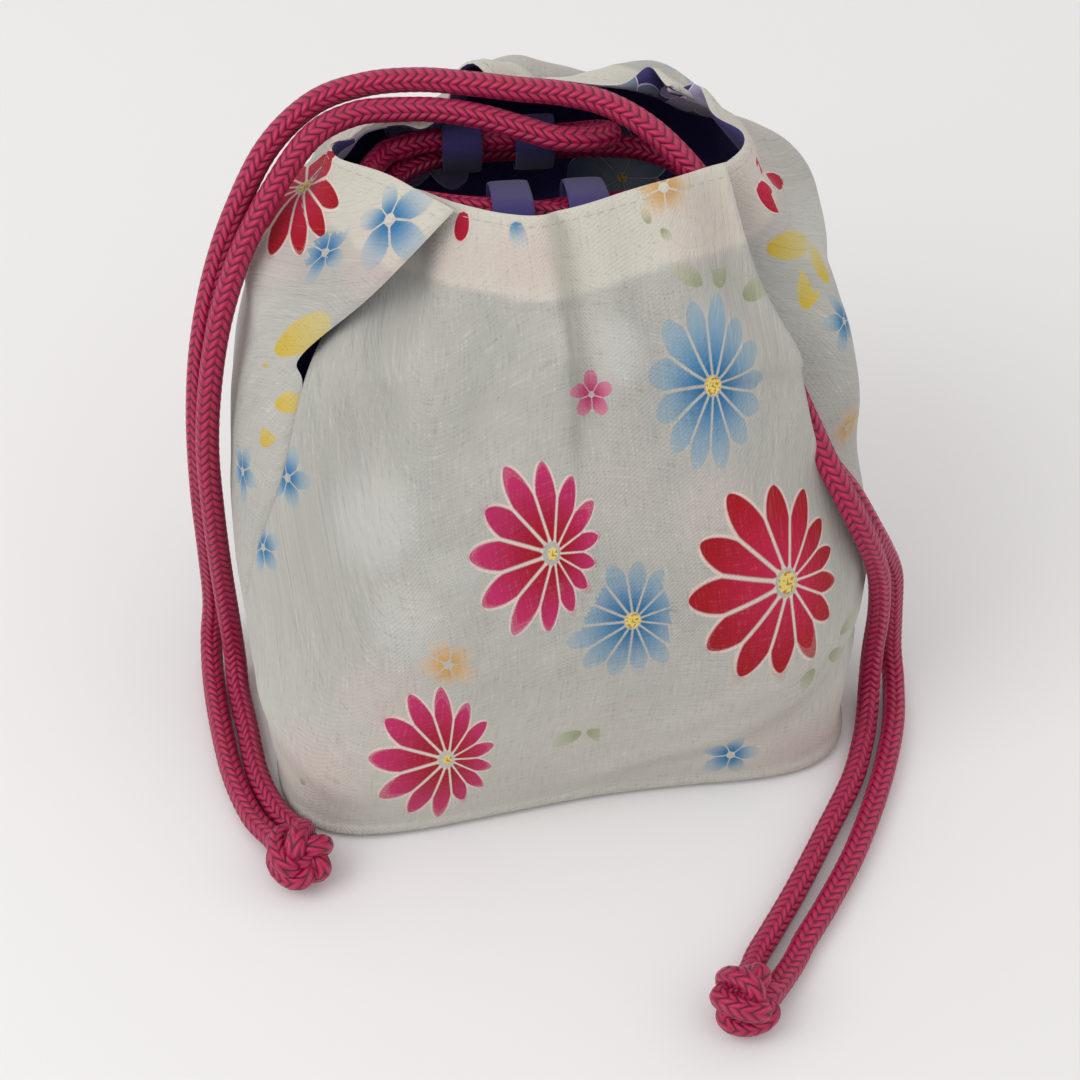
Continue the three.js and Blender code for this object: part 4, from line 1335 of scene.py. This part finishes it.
class POUCH_OT_lining(bpy.types.Operator):
    """Make the two lining panels"""

    bl_idname = "pouch.lining"
    bl_label = "Lining"

    def execute(self, context):
        material = lining_material(context.scene.pouch_cloth)
        for side, flowers in (("front", FRONT_LINING_PRINT), ("back", BACK_LINING_PRINT)):
            made, grid, normals = cloth_panel(side == "front", True, material)
            print_panel(made, grid, normals, flowers)
            hold(made, "navy_lining", f"lining_{side}_panel")
        return {"FINISHED"}


class POUCH_OT_tabs(bpy.types.Operator):
    """Make the four cloth tabs that the cords run through"""

    bl_idname = "pouch.tabs"
    bl_label = "Tabs"

    def execute(self, context):
        material = tab_material(context.scene.pouch_cloth)
        for number, (name, tab) in enumerate(TABS_MM.items()):
            made = self.band(name + "_band", tab, material, number)
            hold(made, "navy_lining", name)
        return {"FINISHED"}

    def band(self, name, tab, material, seed):
        """A band of doubled cloth sewn into a loop, with rounded edges."""
        at, slope, half_length, half_height = tab
        straight = half_length - half_height
        run = np.linspace(0, 1, 96, endpoint=False)
        turn = 2 * math.pi * run
        x = half_height * np.cos(turn) + straight * np.tanh(2.5 * np.cos(turn))
        z = half_height * np.sin(turn)
        section = np.linspace(0, 2 * math.pi, 20, endpoint=False)
        wide, thick = 4.9, 0.42
        bulge = np.sign(np.cos(section)) * np.abs(np.cos(section)) ** 0.5 * wide
        rise = np.sin(section) * thick
        outward = np.stack([np.cos(turn), 0 * turn, np.sin(turn)], axis=1)
        middle = np.stack([x, 0 * x, z], axis=1) + outward * 0.45
        points = middle[:, None] + rise[None, :, None] * outward[:, None]
        wave = 0.25 * np.sin(turn * 3 + seed)[:, None]
        points[..., 1] += bulge[None, :] * (1 + 0.05 * wave)
        points[..., 2] += wave * 0.4
        points = np.stack([points[..., 1], points[..., 0], points[..., 2]], axis=2)
        tip = math.radians(-slope)
        y = points[..., 1] * math.cos(tip) - points[..., 2] * math.sin(tip)
        z = points[..., 1] * math.sin(tip) + points[..., 2] * math.cos(tip)
        placed = (np.stack([points[..., 0], y, z], axis=2) + np.array(at)) * MM
        rings, sides = placed.shape[:2]
        faces = []
        for r in range(rings):
            for c in range(sides):
                d = (c + 1) % sides
                n = (r + 1) % rings
                faces.append((r * sides + c, r * sides + d, n * sides + d, n * sides + c))
        return new_object(name, placed.reshape(-1, 3), faces, material)


class POUCH_OT_topstitching(bpy.types.Operator):
    """Sew the rows of stitches along the hems"""

    bl_idname = "pouch.topstitching"
    bl_label = "Topstitching"

    def execute(self, context):
        cloth = context.scene.pouch_cloth
        tree = stitch_tree(thread_material())
        for number, side in enumerate(("front", "back")):
            grid, normals = folded_panel(side == "front")
            shown = grid + normals * (LAYER_GAP + cloth.thickness)
            lines = [shown[row, 3:-3] for row in STITCHED_ROWS]
            made = stitched(f"{side}_topstitching", lines, tree, number)
            hold(made, "printed_cotton")
        return {"FINISHED"}


class POUCH_PT_panel(bpy.types.Panel):
    """The pouch's making, step by step"""

    bl_label = "Kinchaku pouch"
    bl_idname = "POUCH_PT_panel"
    bl_space_type = "VIEW_3D"
    bl_region_type = "UI"
    bl_category = "Pouch"

    def draw(self, context):
        column = self.layout.column()
        for operator in MAKING:
            column.operator(operator.bl_idname)
        for group in (context.scene.pouch_cloth, context.scene.pouch_cord,
                      context.scene.pouch_stitch, context.scene.pouch_stage):
            box = self.layout.box()
            for name in group.__annotations__:
                box.prop(group, name)


MAKING = [POUCH_OT_stage, POUCH_OT_drawcords, POUCH_OT_outer_cloth, POUCH_OT_lining,
          POUCH_OT_tabs, POUCH_OT_topstitching]
GROUPS = {"pouch_cloth": ClothSettings, "pouch_cord": CordSettings,
          "pouch_stitch": StitchSettings, "pouch_stage": StageSettings}


def register():
    for cls in (*GROUPS.values(), *MAKING, POUCH_PT_panel):
        bpy.utils.register_class(cls)
    for name, group in GROUPS.items():
        setattr(bpy.types.Scene, name, bpy.props.PointerProperty(type=group))


def unregister():
    for name in GROUPS:
        delattr(bpy.types.Scene, name)
    for cls in (POUCH_PT_panel, *reversed(MAKING), *GROUPS.values()):
        bpy.utils.unregister_class(cls)


def main():
    register()
    bpy.ops.pouch.stage()
    bpy.ops.pouch.drawcords()
    bpy.ops.pouch.outer_cloth()
    bpy.ops.pouch.lining()
    bpy.ops.pouch.tabs()
    bpy.ops.pouch.topstitching()
    bpy.context.view_layer.update()


if __name__ == "__main__":
    main()
